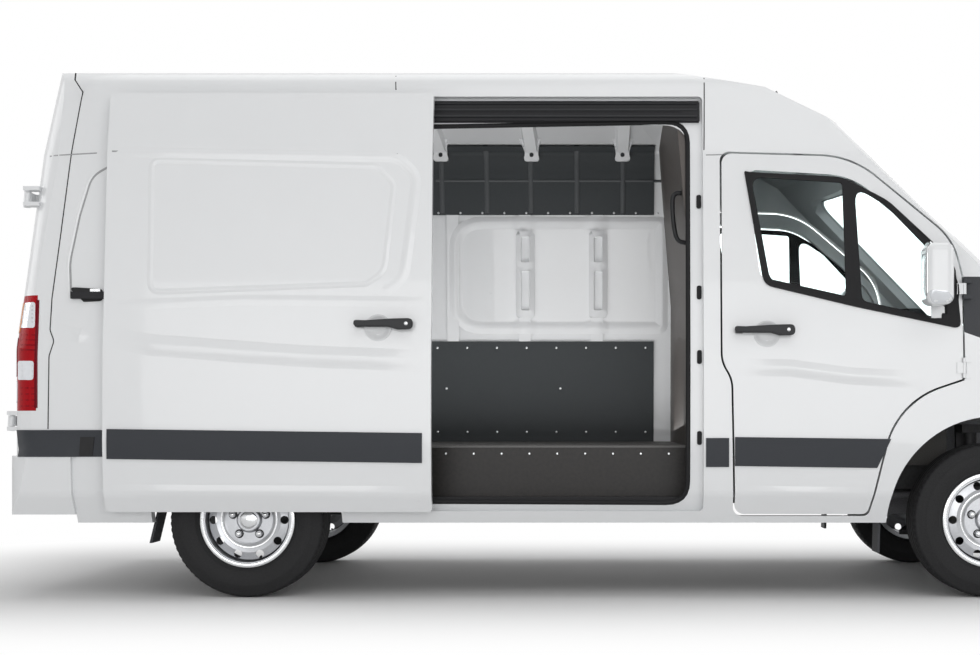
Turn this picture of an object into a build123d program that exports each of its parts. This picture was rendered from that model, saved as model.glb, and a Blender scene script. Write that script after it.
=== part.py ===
from build123d import *
import math
import os

os.makedirs("parts", exist_ok=True)

# A long-wheelbase high-roof panel van. Millimetres, +X forward, +Y to the van's left, +Z up.
# The origin is on the ground under the middle of the whole vehicle.

# Overall plan and stance
FRONT_OVERHANG = 1035
REAR_OVERHANG = 1120
WHEELBASE = 3435
LENGTH = FRONT_OVERHANG + WHEELBASE + REAR_OVERHANG
FRONT_AXLE_X = LENGTH / 2 - FRONT_OVERHANG
REAR_AXLE_X = FRONT_AXLE_X - WHEELBASE
NOSE_X = LENGTH / 2

# Wheels and tyres
TYRE_RADIUS = 356
TYRE_WIDTH = 235
RIM_RADIUS = 220
RIM_SEAT_RADIUS = 203
RIM_SEAT_HALF = 82
RIM_WALL = 8
TRACK_HALF = 852
DISC_FACE = 46
HUB_LENGTH = 40
HUB_SLEEVE_RADIUS = 60
CAP_RADIUS = 52
NUT_RADIUS = 13
NUT_LENGTH = 20
BOLT_CIRCLE = 160
BOLT_COUNT = 5
VENT_COUNT = 10
VENT_RADIUS = 19
VENT_CIRCLE_RADIUS = 165
HUB_BORE_RADIUS = 45
RUNNING_GAP = 0.3
SHAFT_GAP = 0.1

# Body section, half widths at named heights
SILL_Z = 345
SILL_HALF = 935
TURN_UNDER_Z = 480
TURN_UNDER_HALF = 1004
WAIST_Z = 700
WAIST_HALF = 1020
CREASE_Z = 1120
CREASE_HALF = 1016
BELT_Z = 1330
BELT_HALF = 1000
SEAM_Z = 2060
SEAM_HALF = 950
CANT_Z = 2305
CANT_HALF = 905
ROOF_Z = 2515
WALL = 55
GLASS = 6
PANEL_GAP = 7
DOOR_GAP = 9
REAR_DOOR_GAP = 10
DOOR_SKIN = 22
DOOR_STEP = 14

# Side profile, along the van
TAIL_FACE_X = REAR_AXLE_X - 1100
TAIL_TOP_X = REAR_AXLE_X - 1000
ROOF_REAR_X = REAR_AXLE_X - 905
ROOF_REAR_Z = 2475
# The roof comes down to the screen in two steps. Each is a slope in degrees through a point.
BROWS = [(10, REAR_AXLE_X + 2448, 2402), (26, REAR_AXLE_X + 2763, 2299)]
SCREEN_TOP_X = REAR_AXLE_X + 3067
SCREEN_TOP_Z = 2077
SCREEN_SLOPE = 43.5
COWL_Z = 1255
COWL_X = SCREEN_TOP_X + (SCREEN_TOP_Z - COWL_Z) / math.tan(math.radians(SCREEN_SLOPE))
SCREEN_BOW = 250
SCREEN_BOW_HALF = 960
HOOD_FRONT_X = NOSE_X - 175
GRILLE_TOP_Z = 985
BUMPER_TOP_Z = 650
BUMPER_BOTTOM_Z = 270
NOSE_HALF = 900

# Doors
DOOR_REAR_X = REAR_AXLE_X + 2192
DOOR_REAR_LOW_X = REAR_AXLE_X + 2240
DOOR_BOTTOM_Z = 386
DOOR_FRONT_X = REAR_AXLE_X + 3292
DOOR_SCREEN_Z = 1475
DOOR_CORNER = 45
SLIDE_FRONT_X = REAR_AXLE_X + 2106
SLIDE_WIDTH = 1485
SLIDE_BOTTOM_Z = 400
SLIDE_TOP_Z = 2325
SLIDE_TRAVEL = 1240
SLIDE_STANDOFF = 75
APERTURE_FRONT_X = REAR_AXLE_X + 2042
APERTURE_REAR_X = SLIDE_FRONT_X - SLIDE_WIDTH + 60
APERTURE_BOTTOM_Z = 431
APERTURE_TOP_Z = 2197
APERTURE_CORNER = 110
REAR_DOOR_BOTTOM_Z = 668
REAR_DOOR_TOP_Z = 2290
REAR_DOOR_HALF = 850
HINGE_LOW_X = REAR_AXLE_X - 1104
HINGE_LOW_Z = 816
HINGE_HIGH_X = REAR_AXLE_X - 1030
HINGE_HIGH_Z = 1854
HINGE_Y = 905
HINGE_RADIUS = 16
HINGE_PIN_RADIUS = 7

# Arches, floor and chassis
FRONT_ARCH_RADIUS = 480
REAR_ARCH_RADIUS = 440
FLOOR_Z = 700
FLOOR_THICKNESS = 40
CAB_FLOOR_Z = 640
CAB_FLOOR_REAR_X = REAR_AXLE_X + 2090
FIREWALL_X = REAR_AXLE_X + 3330
FIREWALL_THICKNESS = 12
RAIL_HALF = 430
RAIL_WIDTH = 70
RAIL_HEIGHT = 120
KINGPIN_HALF = 752
WHEEL_BOX_RADIUS = 428
WHEEL_BOX_INNER = 680
STEP_INNER_HALF = 700
RAIL_TOP_Z = CAB_FLOOR_Z - FLOOR_THICKNESS - RUNNING_GAP
RAIL_BOTTOM_Z = RAIL_TOP_Z - RAIL_HEIGHT
AXLE_RADIUS = 50
DIFF_RADIUS = 150
PROP_RADIUS = 38
PROP_FRONT_X = REAR_AXLE_X + 2900
GEARBOX_Z = 440
LEAF_HALF = 650
LEAF_Y = 560
ARM_Z = 215
KNUCKLE_TOP_Z = 506
DAMPER_RADIUS = 25
TOWER_Z = 800

# Hinges and glass edges
HINGE_EYE = 50
PIN_GAP = 1
KNUCKLE_HEIGHT = 20
POCKET = 3
FRONT_HINGE_Y = 1020
FRONT_HINGE_RADIUS = 9
FRONT_PIN_RADIUS = 4
FRONT_HINGE_LOW_Z = 1058
FRONT_HINGE_HIGH_Z = 1420
STRAP_END_Y = 800
MIRROR_SAIL_X = REAR_AXLE_X + 3150
MIRROR_NEAR_Y = 1045
MIRROR_FAR_Y = 1215

# Inside
DASH_HALF = 885
SEAT_WIDTH = 480
DRIVER_Y = 440
STEER_RADIUS = 190
STEER_X = REAR_AXLE_X + 2925
STEER_Y = 440
STEER_Z = 1215
STEER_LEAN = -35
STEER_HUB_HEIGHT = 50
COLUMN_RADIUS = 30
COLUMN_LENGTH = 170
WHEEL_HOUSE_HALF = 530
CROSS_MEMBERS = (REAR_AXLE_X - 900, REAR_AXLE_X + 800, REAR_AXLE_X + 2300)
FLOOR_BEAMS = (REAR_AXLE_X - 800, REAR_AXLE_X + 500, REAR_AXLE_X + 1100, REAR_AXLE_X + 1750)
FLOOR_BEAM_HALF = 650
PARTITION_X = REAR_AXLE_X + 2048
LINING_SETBACK = 40
LINING_LOW_Z = 1290
LINING_HIGH_Z = 2030
LINING_TOP_Z = 2400
LINING_INNER_HALF = 700
LINING_REBATE = 2
POSTS = tuple(REAR_AXLE_X + x for x in (-760, -120, 340, 765, 1188, 1613))
UPPER_RAIL_LOW_Z = 2212
UPPER_RAIL_TOP_Z = 2300
MIDDLE_RAIL_NEAR = 997.4
MIDDLE_RAIL_FAR = 1021
EXHAUST_Y = 320
EXHAUST_Z = 448

# Bolt holes for fitted equipment
TOW_HOLE_RADIUS = 6.5
TOW_HOLE_SPACING = 100
TOW_HOLES_X = REAR_AXLE_X - 800
RACK_HOLE_RADIUS = 3.4
RACK_LENGTH = 1800
RACK_WIDTH = 1500
RACK_X = REAR_AXLE_X + 700
LASHING_HOLE_RADIUS = 4.25
LASHING_LENGTH = 1160
LASHING_WIDTH = 1100
LASHING_X = REAR_AXLE_X + 1140

# Hood hinges, whose line lies at the hood's rear corners
HOOD_AXIS_Z = 1116
HOOD_HINGE_Y = 780
HOOD_EYE_HALF = 15
HOOD_EYE_RADIUS = 8
HOOD_PIN_RADIUS = 4


# Shoulder, roof crown and nose details
SHOULDER_HALF = 868
SHOULDER_Z = 2450
ROOF_CROWN = 6400
ROOF_APEX_SAG = 39
HOOD_SLOPE = 16.5
HOOD_REFERENCE_X = REAR_AXLE_X + 3450
HOOD_SHOULDER_Z = 1235
HOOD_APEX_Z = 1330
HOOD_HALF = 1020
HOOD_CROWN = 5200
HULL_NOSE_X = NOSE_X - 45
TAIL_KINK_Z = 1150
TAIL_CORNER = 120
TAIL_BOW = 34
BIG = 4000


def corner_edges(points, place):
    """Edges of a closed outline. Each point is (a, b) or (a, b, corner radius)."""
    count = len(points)
    entries, exits, mids = [], [], []
    for i, point in enumerate(points):
        here = Vector(point[0], point[1])
        before = Vector(*points[i - 1][:2])
        after = Vector(*points[(i + 1) % count][:2])
        radius = point[2] if len(point) > 2 else 0
        back, ahead = (before - here).normalized(), (after - here).normalized()
        half_angle = math.radians(back.get_angle(ahead)) / 2
        reach = radius / math.tan(half_angle) if radius else 0
        inward = (back + ahead).normalized() if radius else Vector(0, 0)
        depth = radius / math.sin(half_angle) - radius if radius else 0
        entries.append(here + back * reach)
        exits.append(here + ahead * reach)
        mids.append(here + inward * depth if radius else None)
    edges = []
    for i in range(count):
        following = (i + 1) % count
        if mids[i] is not None:
            edges.append(ThreePointArc(place(entries[i]), place(mids[i]), place(exits[i])))
        if (exits[i] - entries[following]).length > 0.01:
            edges.append(Line(place(exits[i]), place(entries[following])))
    return edges


def face_of(points, place):
    return make_face(corner_edges(points, place)).faces()[0]


def side_prism(points, y_low, y_high):
    """An outline seen from the side, as (x, z), drawn across the van."""
    face = face_of(points, lambda p: Vector(p.X, y_low, p.Y))
    return Solid.extrude(face, Vector(0, y_high - y_low, 0))


def end_prism(points, x_low, x_high):
    """An outline seen from the end, as (y, z), drawn along the van."""
    face = face_of(points, lambda p: Vector(x_low, p.X, p.Y))
    return Solid.extrude(face, Vector(x_high - x_low, 0, 0))


def plan_prism(points, z_low, z_high):
    """An outline seen from above, as (x, y), drawn upwards."""
    face = face_of(points, lambda p: Vector(p.X, p.Y, z_low))
    return Solid.extrude(face, Vector(0, 0, z_high - z_low))


def block(x_low, x_high, y_low, y_high, z_low, z_high):
    return Pos((x_low + x_high) / 2, (y_low + y_high) / 2, (z_low + z_high) / 2) * Box(
        x_high - x_low, y_high - y_low, z_high - z_low
    )


def cylinder_y(x, z, radius, y_low, y_high):
    return Pos(x, (y_low + y_high) / 2, z) * Rot(90, 0, 0) * Cylinder(radius, y_high - y_low)


def rod(start, end, radius):
    """A round bar between two points."""
    start, end = Vector(*start), Vector(*end)
    plane = Plane(origin=start, z_dir=(end - start))
    return Solid.make_cylinder(radius, (end - start).length, plane)


def write(name, *shapes):
    """One STEP file of all the solids of a sub-part."""
    solids = [s for shape in shapes for s in shape.solids()]
    export_step(Compound(children=solids) if len(solids) > 1 else solids[0], f"parts/{name}.step")
    print(name, len(solids), round(sum(s.volume for s in solids) / 1e6, 1), "litres")


# Outer envelope of the body, inset by a wall thickness


def section_outline(inset, bottom_z=SILL_Z):
    half = [
        (SILL_HALF - inset, bottom_z),
        (TURN_UNDER_HALF - inset, TURN_UNDER_Z, 80),
        (WAIST_HALF - inset, WAIST_Z, 900),
        (CREASE_HALF - inset, CREASE_Z, 900),
        (BELT_HALF - inset, BELT_Z, 900),
        (SEAM_HALF - inset, SEAM_Z, 900),
        (CANT_HALF - inset, CANT_Z, 200),
        (SHOULDER_HALF - inset, SHOULDER_Z - inset, max(110 - inset, 30)),
    ]
    apex = [(0, ROOF_Z + ROOF_APEX_SAG - inset, ROOF_CROWN * (1 - inset / 300))]
    left = [(-p[0], *p[1:]) for p in reversed(half)]
    return half + apex + left


def profile_outline(inset):
    return [
        (TAIL_FACE_X - 50, SILL_Z - 10),
        (ROOF_REAR_X - 50, ROOF_REAR_Z - inset - 2),
        (REAR_AXLE_X + 300, ROOF_Z + 15 - inset, 8000),
        (COWL_X + 60 - inset * 1.4, ROOF_Z + 30 - inset),
        (COWL_X + 60 - inset * 1.4, SILL_Z - 10),
    ]


def screen_prism(inset, slope=SCREEN_SLOPE, x=COWL_X, z=COWL_Z):
    """Everything behind a bowed surface that leans back through (x, z), as a sheared prism."""
    run = BIG / math.tan(math.radians(slope))
    centre_x = x - inset / math.sin(math.radians(slope))
    edge = BIG / 2
    radius = (SCREEN_BOW_HALF**2 + SCREEN_BOW**2) / (2 * SCREEN_BOW)
    edge_half = 1150
    edge_back = radius - math.sqrt(radius**2 - edge_half**2)
    z_low = COWL_Z - 1000
    shift = (z - z_low) / math.tan(math.radians(slope))
    nose, side = centre_x + shift, centre_x + shift - edge_back
    left, right = Vector(side, edge_half, z_low), Vector(side, -edge_half, z_low)
    back_left, back_right = Vector(-edge - 5000, edge_half, z_low), Vector(-edge - 5000, -edge_half, z_low)
    edges = [
        ThreePointArc(right, Vector(nose, 0, z_low), left),
        Line(left, back_left),
        Line(back_left, back_right),
        Line(back_right, right),
    ]
    return Solid.extrude(make_face(edges).faces()[0], Vector(-run, 0, BIG))


def tail_prism(inset):
    """Everything ahead of the leaning rear face, with its bowed back and round corners."""
    levels = [
        (SILL_Z - 10, TAIL_FACE_X, WAIST_HALF),
        (TAIL_KINK_Z, TAIL_FACE_X, WAIST_HALF),
        (SEAM_Z, TAIL_TOP_X, SEAM_HALF),
        (ROOF_Z + 60, ROOF_REAR_X - 10, SHOULDER_HALF + 10),
    ]
    radius = max(TAIL_CORNER - inset, 40)
    faces = []
    for z, tail_x, half in levels:
        x, y = tail_x + inset, half - inset
        outline = [
            (NOSE_X, y),
            (x + TAIL_BOW, y, radius),
            (x + TAIL_BOW * 0.1, y * 0.45, 1500),
            (x + TAIL_BOW * 0.1, -y * 0.45, 1500),
            (x + TAIL_BOW, -y, radius),
            (NOSE_X, -y),
        ]
        faces.append(face_of(outline, lambda p, z=z: Vector(p.X, p.Y, z)))
    return loft(faces, ruled=True)


def upper_hull(inset):
    hull = end_prism(section_outline(inset), -BIG, BIG)
    hull = hull & side_prism(profile_outline(inset), -BIG, BIG)
    hull = hull & screen_prism(inset)
    for slope, x, z in BROWS:
        hull = hull & screen_prism(inset, slope, x, z)
    return hull & tail_prism(inset)


def nose_hull(inset):
    """The body ahead of the screen: sloped hood with round shoulders, bowed nose."""
    half = [
        (HOOD_HALF - inset, SILL_Z - BIG),
        (HOOD_HALF - inset, HOOD_SHOULDER_Z - inset, max(120 - inset, 30)),
    ]
    apex = [(0, HOOD_APEX_Z - inset, HOOD_CROWN * (1 - inset / 300))]
    left = [(-p[0], *p[1:]) for p in reversed(half)]
    start = FRONT_AXLE_X - 700
    drop = math.tan(math.radians(HOOD_SLOPE))
    face = face_of(half + apex + left, lambda p: Vector(start, p.X, p.Y + (HOOD_REFERENCE_X - start) * drop))
    hull = Solid.extrude(face, Vector(BIG, 0, -BIG * drop))
    plan_half = [
        (start - 10, HOOD_HALF + 14 - inset),
        (FRONT_AXLE_X + 60, HOOD_HALF - 2 - inset, 3000),
        (FRONT_AXLE_X + 560, HOOD_HALF - 56 - inset, 600),
        (HULL_NOSE_X - 190 - inset, NOSE_HALF - inset, max(220 - inset, 60)),
        (HULL_NOSE_X + 25 - inset, 430, 1500),
    ]
    plan = plan_half + [(p[0], -p[1], *p[2:]) for p in reversed(plan_half)]
    hull = hull & plan_prism(plan, BUMPER_BOTTOM_Z - 10, 1700)
    nose_side = [
        (start - 20, BUMPER_BOTTOM_Z),
        (start - 20, 1700),
        (HOOD_FRONT_X + 20 - inset, 1700),
        (HOOD_FRONT_X + 20 - inset, 1100),
        (HULL_NOSE_X + 10 - inset, GRILLE_TOP_Z - inset, 90),
        (HULL_NOSE_X + 30 - inset, BUMPER_TOP_Z),
        (HULL_NOSE_X + 10 - inset, BUMPER_BOTTOM_Z),
    ]
    hull = hull & end_prism(section_outline(inset, BUMPER_BOTTOM_Z - 10), start - 30, BIG)
    return hull & side_prism(nose_side, -BIG, BIG)


# Outlines seen from the side, as (x, z)
R = REAR_AXLE_X
PILLAR_SPLIT_X = R + 2880
NOSE_SPLIT_X = R + 3300
BUMPER_SEAM_X = R - 784
REAR_BUMPER_TOP_Z = 655
REAR_BUMPER_BOTTOM_Z = 385
BUMPER_STAND = 20
HOOD_CORNER_X = R + 3895
HOOD_SIDE_HALF = 872
COWL_HALF = 836
COWL_TOP_Z = 1478
FOOT_LOW_Z = 1108
LAMP_FRONT_X = R - 947
TAIL_LAMP_LOW_Z = 862
TAIL_LAMP_TOP_Z = 1392
LAMP_BOTTOM_Z = 730
LAMP_INNER_HALF = 455
GRILLE_HALF = 440
LAMP_REAR_X = R + 4070
SLIDE_DEPTH = 38
RECESS_DEPTH = 42
GLASS_SET = 8
SNUG = WALL + RUNNING_GAP
LINING = 14
FLOOR_EDGE = SNUG + LINING + 3
SILL_STEP_Z = 440


def grown(points, by):
    """The same outline pushed out by a gap, corner by corner."""
    count = len(points)
    area = sum(
        points[i - 1][0] * points[i][1] - points[i][0] * points[i - 1][1] for i in range(count)
    )
    turn = 1 if area > 0 else -1
    moved = []
    for i, point in enumerate(points):
        before, after = points[i - 1], points[(i + 1) % count]
        here = Vector(point[0], point[1])
        ahead_in = (here - Vector(*before[:2])).normalized()
        ahead_out = (Vector(*after[:2]) - here).normalized()
        normal_in = Vector(ahead_in.Y, -ahead_in.X) * turn
        normal_out = Vector(ahead_out.Y, -ahead_out.X) * turn
        both = normal_in + normal_out
        shift = both * (2 * by / both.dot(both))
        moved.append((here.X + shift.X, here.Y + shift.Y, *point[2:]))
    return moved


def door_outline():
    return [
        (DOOR_REAR_X, 2052, DOOR_CORNER),
        (DOOR_REAR_X, 1085, 150),
        (DOOR_REAR_LOW_X, 1010, 150),
        (DOOR_REAR_LOW_X + 12, DOOR_BOTTOM_Z, DOOR_CORNER),
        (R + 2862, DOOR_BOTTOM_Z, 30),
        (R + 2985, 905, 380),
        (DOOR_FRONT_X, 1008, 12),
        (DOOR_FRONT_X, DOOR_SCREEN_Z, 200),
        (R + 3250, 1650, 300),
        (R + 2790, 2035, 420),
    ]


def window_outline():
    return [
        (R + 2306, 1976, 40),
        (R + 2368, 1462, 75),
        (R + 3262, 1262, 14),
        (R + 3262, 1500, 120),
        (R + 3205, 1600, 150),
        (R + 2790, 1948, 330),
    ]


def slide_outline():
    front, rear = SLIDE_FRONT_X, SLIDE_FRONT_X - SLIDE_WIDTH
    return [
        (rear, SLIDE_BOTTOM_Z, 20),
        (front, SLIDE_BOTTOM_Z, 20),
        (front, SLIDE_TOP_Z, 20),
        (rear, SLIDE_TOP_Z, 20),
    ]


def aperture_outline():
    return [
        (APERTURE_REAR_X, APERTURE_BOTTOM_Z, APERTURE_CORNER),
        (APERTURE_FRONT_X, APERTURE_BOTTOM_Z, APERTURE_CORNER),
        (APERTURE_FRONT_X, APERTURE_TOP_Z, APERTURE_CORNER),
        (APERTURE_REAR_X, APERTURE_TOP_Z, APERTURE_CORNER),
    ]


def rear_door_outline(side):
    """One rear door seen from behind, as (y, z). side is -1 for the right, 1 for the left."""
    middle = side * REAR_DOOR_GAP / 2
    edge = side * REAR_DOOR_HALF
    return [
        (middle, REAR_DOOR_BOTTOM_Z, 8),
        (edge, REAR_DOOR_BOTTOM_Z, 60),
        (edge, SEAM_Z - 60, 500),
        (edge - side * 55, REAR_DOOR_TOP_Z, 90),
        (middle, REAR_DOOR_TOP_Z, 8),
    ]


def rear_opening_outline():
    half = [
        (REAR_DOOR_HALF + PANEL_GAP, REAR_DOOR_BOTTOM_Z - PANEL_GAP),
        (REAR_DOOR_HALF + PANEL_GAP, SEAM_Z - 60, 500),
        (REAR_DOOR_HALF - 55 + PANEL_GAP, REAR_DOOR_TOP_Z + PANEL_GAP, 90),
    ]
    return half + [(-p[0], *p[1:]) for p in reversed(half)]


def screen_outline():
    return [(-868, 1262, 50), (868, 1262, 50), (772, 2085, 80), (-772, 2085, 80)]


def lamp_outline(side):
    return [
        (side * LAMP_INNER_HALF, LAMP_BOTTOM_Z, 30),
        (side * 1060, LAMP_BOTTOM_Z + 60),
        (side * 1060, GRILLE_TOP_Z + 60),
        (side * LAMP_INNER_HALF, GRILLE_TOP_Z - 35, 30),
    ]


def body_hulls():
    skins = (0, GLASS_SET, GLASS_SET + GLASS, DOOR_SKIN, SLIDE_DEPTH, RECESS_DEPTH, WALL)
    inner = (SNUG, SNUG + LINING, FLOOR_EDGE)
    return {inset: upper_hull(inset) for inset in skins + inner}


def door_cutter(side, outline):
    low, high = (-1300, -500) if side < 0 else (500, 1300)
    return side_prism(outline, low, high)


def tail_lamp_zone(side):
    low, high = sorted((side * 500, side * 1300))
    return block(-BIG, LAMP_FRONT_X, low, high, TAIL_LAMP_LOW_Z, TAIL_LAMP_TOP_Z)


def build_hinged_door(hulls, cutter, inner_cutter):
    """A door whose outer skin is wider than its inner part, so that its edges swing clear."""
    return ((hulls[0] - hulls[DOOR_SKIN]) & cutter) + ((hulls[0] - hulls[WALL]) & inner_cutter)


def hinge_rod(low, high, z_low, z_high, radius):
    """A round bar along a hinge line between two heights."""
    low, high = Vector(*low), Vector(*high)
    ends = []
    for z in (z_low, z_high):
        point = low + (high - low) * ((z - low.Z) / (high.Z - low.Z))
        ends.append((point.X, point.Y, point.Z))
    return rod(*ends, radius)


def hinge_parts(low, high, z, radius, pin_radius):
    """Pin with two end knuckles, and the eye between them, on a hinge line."""
    half = HINGE_EYE / 2
    eye = hinge_rod(low, high, z - half, z + half, radius)
    eye = eye - hinge_rod(low, high, z - half - 9, z + half + 9, pin_radius + SHAFT_GAP)
    reach = half + PIN_GAP + KNUCKLE_HEIGHT / 2
    pin = hinge_rod(low, high, z - reach, z + reach, pin_radius)
    for z_low, z_high in knuckle_heights(z):
        pin = pin + hinge_rod(low, high, z_low, z_high, radius)
    return pin, eye


def build_side_panel(shell, recess, side):
    """Body side below the roof seam, with its door opening, arches and lamp corner."""
    region = block(-BIG, PILLAR_SPLIT_X, *sorted((side * 500, side * 1300)), SILL_Z, SEAM_Z)
    panel = shell & region
    panel = panel - door_cutter(side, grown(door_outline(), DOOR_GAP))
    panel = panel - end_prism(rear_opening_outline(), -BIG, TAIL_FACE_X + 400)
    panel = panel - block(-BIG, BUMPER_SEAM_X, -1200, 1200, 0, REAR_BUMPER_TOP_Z)
    panel = panel - cylinder_y(REAR_AXLE_X, TYRE_RADIUS, REAR_ARCH_RADIUS, -1300, 1300)
    panel = panel - tail_lamp_zone(side)
    if side < 0:
        panel = panel - (side_prism(slide_outline(), -1300, -500) & recess)
        panel = panel - side_prism(aperture_outline(), -1300, -500)
    return panel


def build_roof(shell, recess):
    """High roof with the windscreen pillars and the upper rear corners."""
    region = side_prism(
        [
            (-BIG, SEAM_Z),
            (PILLAR_SPLIT_X, SEAM_Z),
            (PILLAR_SPLIT_X, COWL_TOP_Z),
            (BIG, COWL_TOP_Z),
            (BIG, BIG),
            (-BIG, BIG),
        ],
        -1300,
        1300,
    )
    roof = shell & region
    for side in (-1, 1):
        roof = roof - door_cutter(side, grown(door_outline(), DOOR_GAP))
    roof = roof - end_prism(rear_opening_outline(), -BIG, TAIL_FACE_X + 400)
    roof = roof - end_prism(screen_outline(), R + 2600, BIG)
    roof = roof - (side_prism(slide_outline(), -1300, -500) & recess)
    roof = roof - side_prism(aperture_outline(), -1300, -500)
    for x, y in rectangle(RACK_X, RACK_LENGTH, RACK_WIDTH):
        roof = roof - rod((x, y, ROOF_Z - WALL - 40), (x, y, ROOF_Z + 9), RACK_HOLE_RADIUS)
    return roof


# Ahead of the doors
def hood_prism(by):
    """Hood seen from above, drawn in by a gap. Its rear edge follows the foot of the windscreen."""
    rear, front, z = HOOD_CORNER_X + by, HULL_NOSE_X - 60, GRILLE_TOP_Z + by
    bow = SCREEN_BOW * (HOOD_SIDE_HALF / SCREEN_BOW_HALF) ** 2
    half = HOOD_SIDE_HALF - by
    edges = [
        ThreePointArc((rear, -half, z), (rear + bow, 0, z), (rear, half, z)),
        Line((rear, half, z), (front, half - 60, z)),
        Line((front, half - 60, z), (front, -half + 60, z)),
        Line((front, -half + 60, z), (rear, -half, z)),
    ]
    return Solid.extrude(make_face(edges).faces()[0], Vector(0, 0, 600))


def build_nose(shell, hulls):
    """Hood, fenders, cowl, lamps, grille and front bumper, cut from one hull."""
    nose_outer, nose_inner = nose_hull(0), nose_hull(WALL)
    skin = nose_outer - nose_inner
    cabin = hulls[0] & block(-BIG, BIG, -1300, 1300, COWL_Z, BIG)
    front_zone = block(FRONT_AXLE_X + 200, BIG, -1300, 1300, BUMPER_TOP_Z, GRILLE_TOP_Z - 10)
    front_face = skin & front_zone
    cowl_edge = COWL_HALF + RUNNING_GAP
    arch = cylinder_y(FRONT_AXLE_X, TYRE_RADIUS, FRONT_ARCH_RADIUS, -1300, 1300)
    lamps, fenders = [], []
    for side in (-1, 1):
        lamp_zone = end_prism(lamp_outline(side), LAMP_REAR_X, BIG)
        lamps.append(front_face & lamp_zone)
        inner, outer = sorted((side * 500, side * 1300))
        rear_part = shell & block(PILLAR_SPLIT_X + RUNNING_GAP, NOSE_SPLIT_X, inner, outer, SILL_Z, COWL_Z)
        inner, outer = sorted((side * GRILLE_HALF, side * 1300))
        front_part = (skin & block(NOSE_SPLIT_X, BIG, inner, outer, SILL_Z, BIG)) - cabin
        front_part = front_part - hood_prism(-PANEL_GAP)
        front_part = front_part - block(-BIG, HOOD_CORNER_X + 300, -cowl_edge, cowl_edge, GRILLE_TOP_Z, BIG)
        front_part = front_part - block(FRONT_AXLE_X, BIG, -1300, 1300, 0, BUMPER_TOP_Z + RUNNING_GAP)
        lamp_room = grown(lamp_outline(side), RUNNING_GAP)
        front_part = front_part - end_prism(lamp_room, LAMP_REAR_X - RUNNING_GAP, BIG)
        fenders.append((rear_part + front_part) - door_cutter(side, grown(door_outline(), DOOR_GAP)) - arch)
    hood = skin & hood_prism(0)
    cowl_zone = block(NOSE_SPLIT_X, HOOD_CORNER_X + 300, -COWL_HALF, COWL_HALF, GRILLE_TOP_Z, BIG)
    cowl = (skin & cowl_zone) - hood_prism(-PANEL_GAP) - hulls[WALL]
    foot_zone = block(NOSE_SPLIT_X, BIG, -1300, 1300, FOOT_LOW_Z, COWL_TOP_Z)
    foot = (shell & foot_zone) - nose_outer - end_prism(screen_outline(), R + 2600, BIG)
    cowl = cowl + foot
    x, z = HOOD_CORNER_X, HOOD_AXIS_Z
    for side in (-1, 1):
        y_low, y_high = sorted((side * (HOOD_HINGE_Y - 28), side * (HOOD_HINGE_Y + 28)))
        pocket = block(x - 14, x + 70, y_low, y_high, z - 80, BIG)
        cowl = (cowl - pocket) + cylinder_y(x, z, HOOD_PIN_RADIUS, y_low - 10, y_high + 10)
        y_low, y_high = side * HOOD_HINGE_Y - HOOD_EYE_HALF, side * HOOD_HINGE_Y + HOOD_EYE_HALF
        arm = [(x, z - 8), (x, z + 5), (x + 85, z - 25), (x + 85, z - 45)]
        eye = cylinder_y(x, z, HOOD_EYE_RADIUS, y_low, y_high) + side_prism(arm, y_low, y_high)
        hood = hood + (eye - cylinder_y(x, z, HOOD_PIN_RADIUS + SHAFT_GAP, y_low - 9, y_high + 9))
    grille = front_face & block(FRONT_AXLE_X + 500, BIG, -GRILLE_HALF + 1, GRILLE_HALF - 1, 0, BIG)
    bumper_zone = block(FRONT_AXLE_X, BIG, -1300, 1300, BUMPER_BOTTOM_Z, BUMPER_TOP_Z)
    bumper = ((nose_hull(-BUMPER_STAND) - nose_inner) & bumper_zone) - arch
    return {
        "hood": [hood],
        "fenders": fenders,
        "cowl": [cowl],
        "grille": [grille],
        "headlamps": lamps,
        "front_bumper": [bumper],
    }


def wheel_solid(profile):
    """A ring about the wheel's own axis from corners (axial, radial)."""
    face = face_of(profile, lambda p: Vector(0, p.X, p.Y))
    return Solid.revolve(face, 360, Axis.Y)


def build_tyre():
    half = TYRE_WIDTH / 2
    side = [
        (RIM_SEAT_HALF - 0.2, RIM_SEAT_RADIUS + 0.2),
        (RIM_SEAT_HALF - 0.2, RIM_RADIUS + 2),
        (half, RIM_RADIUS + 20, 20),
        (half, TYRE_RADIUS - 26, 60),
        (half - 26, TYRE_RADIUS, 25),
    ]
    other = [(-p[0], *p[1:]) for p in reversed(side)]
    return wheel_solid(side + other)


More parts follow.
